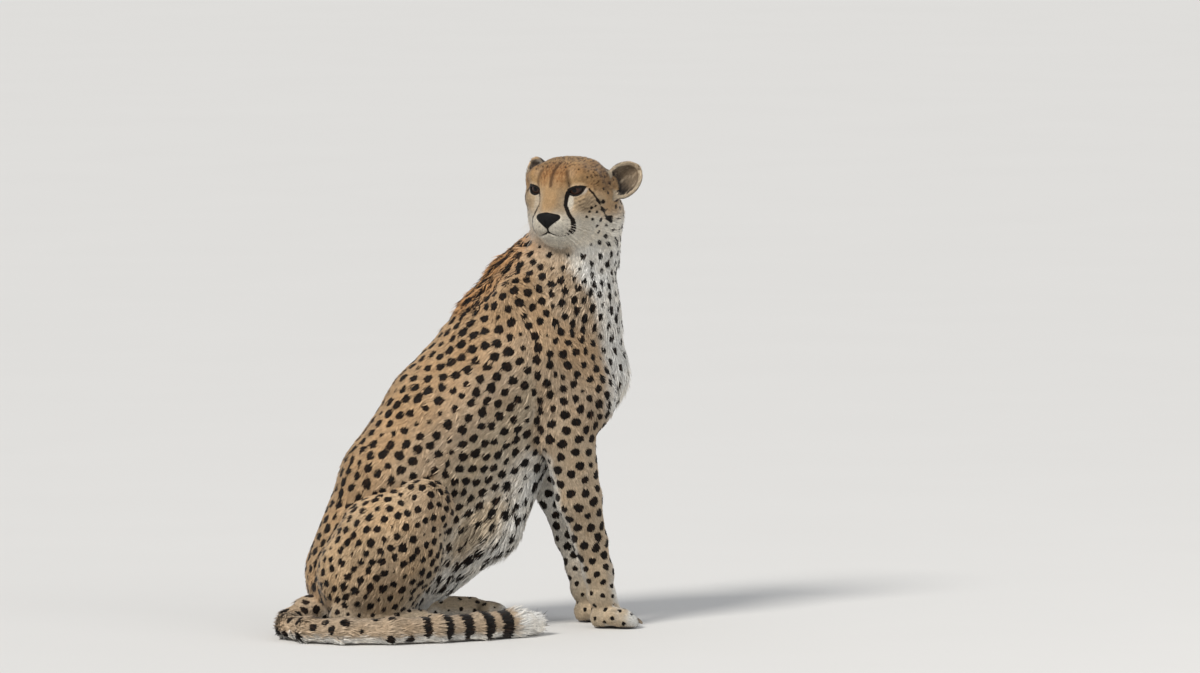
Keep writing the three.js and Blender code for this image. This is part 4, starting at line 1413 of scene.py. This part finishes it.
def claw_tubes():
    tubes = []
    share = np.linspace(0, 1, 9)
    radii = 4.1 * MM * np.sqrt(np.clip(1 - share ** 1.7, 0.012, 1))
    up = 19 - 3 * share - 7.5 * share ** 2
    for foot in (0, 1):
        for side in SIDES:
            x, y, width = feet(side)[foot]
            for step in TOE_STEPS:
                forward = x + 9 - 5 * abs(step) + 36 + 22 * share
                out = side * (y + step * width / 4) * 1.03
                line = np.stack([forward, np.full(len(share), out), up], axis=1) * MM + SHIFT
                tubes.append(swept(line, radii, 10, 0.72))
    return tubes


def whisker_tubes():
    tubes = []
    share = np.linspace(0, 1, 12)[:, None]
    radii = np.linspace(0.36, 0.1, 12) * MM
    for side in SIDES:
        for start, (row, column) in zip(WHISKER_STARTS, WHISKER_GRID):
            way = unit(np.array([0.15 - 0.12 * column, 0.8, -0.12 - 0.16 * row]))
            length = RANDOM.uniform(42, 66)
            droop = np.array([-0.32, 0, -0.2]) * length * share ** 2
            line = (start + way * length * share + droop) * [1, side, 1] * MM
            tubes.append(swept(from_head(line), radii, 4))
    return tubes


# ---------------------------------------------------------------- the whole animal

coat_material = fur_material("coat", True)
skin_material = fur_material("skin", False)

skin_points, skin_quads, skin_normal = make_skin()
skin_shares, skin_lie, skin_depth = survey(skin_points, skin_normal)
skin = dict(points=skin_points, quads=skin_quads, normals=skin_normal, shares=skin_shares, lie=skin_lie,
            depth=skin_depth)
spots = scatter_spots(skin_points, skin_normal, skin_shares, skin_lie)
skin_values = dict(tone=ground_tone(skin_points, skin_normal, skin_shares),
                   spot=spot_distance(skin_points, skin_normal, skin_shares, spots) / MM,
                   vary=RANDOM.random(len(skin_points)) * 0.4)
skin_piece = mesh_piece("skin", skin_points, skin_quads, skin_material, skin_normal, skin_values)
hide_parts(*[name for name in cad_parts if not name.startswith(("eye", "nose"))])

quad_shares = skin_shares[skin_quads].mean(1)
quad_middle = skin_points[skin_quads].mean(1)
head_middle = to_head(quad_middle)
ruff = quad_shares[:, -1] * 0.07 * smooth(-35 * MM, -75 * MM, head_middle[:, 2])
lock_density = quad_shares @ LOCK_DENSITY
lock_density += ruff * smooth(60 * MM, 20 * MM, head_middle[:, 0])
lock_density += quad_shares[:, TAIL_COLUMN] * 0.12 * smooth(-70 * MM, -20 * MM, tail_left(quad_middle))
lock_density += 0.12 * ear_shares(head_middle)[1]
tufts = grow(quad_shares @ DENSITY / MM ** 2, False)
locks = grow(lock_density / MM ** 2, True)
kinds = [(tufts, piece_of(tufts), TUFT, TUFT_FACES), (locks, piece_of(locks), LOCK, LOCK_FACES)]
for name in sorted(set(kinds[0][1])):
    coat_piece(name, [({key: value[names == name] for key, value in coat.items()}, template, faces)
                      for coat, names, template, faces in kinds])

make_nose()
eye_finish = eye_material()
for side in SIDES:
    make_eye(side, eye_finish)
joined("claws", claw_tubes(), claw_material())
joined("whiskers", whisker_tubes(), whisker_material())


# ---------------------------------------------------------------- floor, light and camera

AZIMUTH, ELEVATION = math.radians(-15), math.radians(4.5)
CAMERA_DISTANCE = 25.33
AIM = Vector((286 * MM + SHIFT[0], 3 * MM + SHIFT[1], 550 * MM))
LIGHTS_AIM = Vector((0, 0, 0.45))
FILL_PLACE = Vector((3.5, -4.0, 2.4))
SUN_WAY = Vector((-0.8, -0.72, 0.95))


def turned_to(way):
    """The turn that makes a camera or a lamp look back along a way."""
    return way.to_track_quat("Z", "Y").to_euler()


def light(name, kind, energy, tint, way, **settings):
    data = bpy.data.lights.new(name, kind)
    for key, value in dict(energy=energy, color=tint, **settings).items():
        setattr(data, key, value)
    lamp = in_scene(name, data)
    lamp.rotation_euler = turned_to(way)
    return lamp


for leftover in ("Cube", "Light", "Camera"):
    if leftover in bpy.data.objects:
        bpy.data.objects.remove(bpy.data.objects[leftover])

floor_mesh = bpy.data.meshes.new("floor")
floor_mesh.from_pydata([(-300, -300, 0), (300, -300, 0), (300, 300, 0), (-300, 300, 0)], [], [(0, 1, 2, 3)])
floor_shader = Shader("floor", 0.9, 0.1)
floor_tone = floor_shader.mix(floor_shader.noise(2), (0.73, 0.72, 0.7), (0.75, 0.74, 0.72))
floor_mesh.materials.append(floor_shader.finish(floor_tone))
floor = in_scene("floor", floor_mesh)

camera_data = bpy.data.cameras.new("camera")
camera_data.lens = 400
camera_data.sensor_width = 36
camera_data.clip_end = 200
camera = in_scene("camera", camera_data)
bpy.context.scene.camera = camera
back = Vector((math.sin(AZIMUTH) * math.cos(ELEVATION), -math.cos(AZIMUTH) * math.cos(ELEVATION),
               math.sin(ELEVATION)))
camera.location = AIM + back * CAMERA_DISTANCE
camera.rotation_euler = turned_to(back)

light("sun", "SUN", 2.6, (1, 0.97, 0.92), SUN_WAY, angle=math.radians(16))
light("fill", "AREA", 55, (1.0, 0.98, 0.95), FILL_PLACE - LIGHTS_AIM, size=4.0).location = FILL_PLACE
world = bpy.data.worlds.new("studio")
world.use_nodes = True
backdrop = world.node_tree.nodes["Background"]
backdrop.inputs["Color"].default_value = (0.92, 0.95, 1.0, 1)
backdrop.inputs["Strength"].default_value = 0.5
bpy.context.scene.world = world
bpy.context.scene.view_settings.view_transform = "Standard"
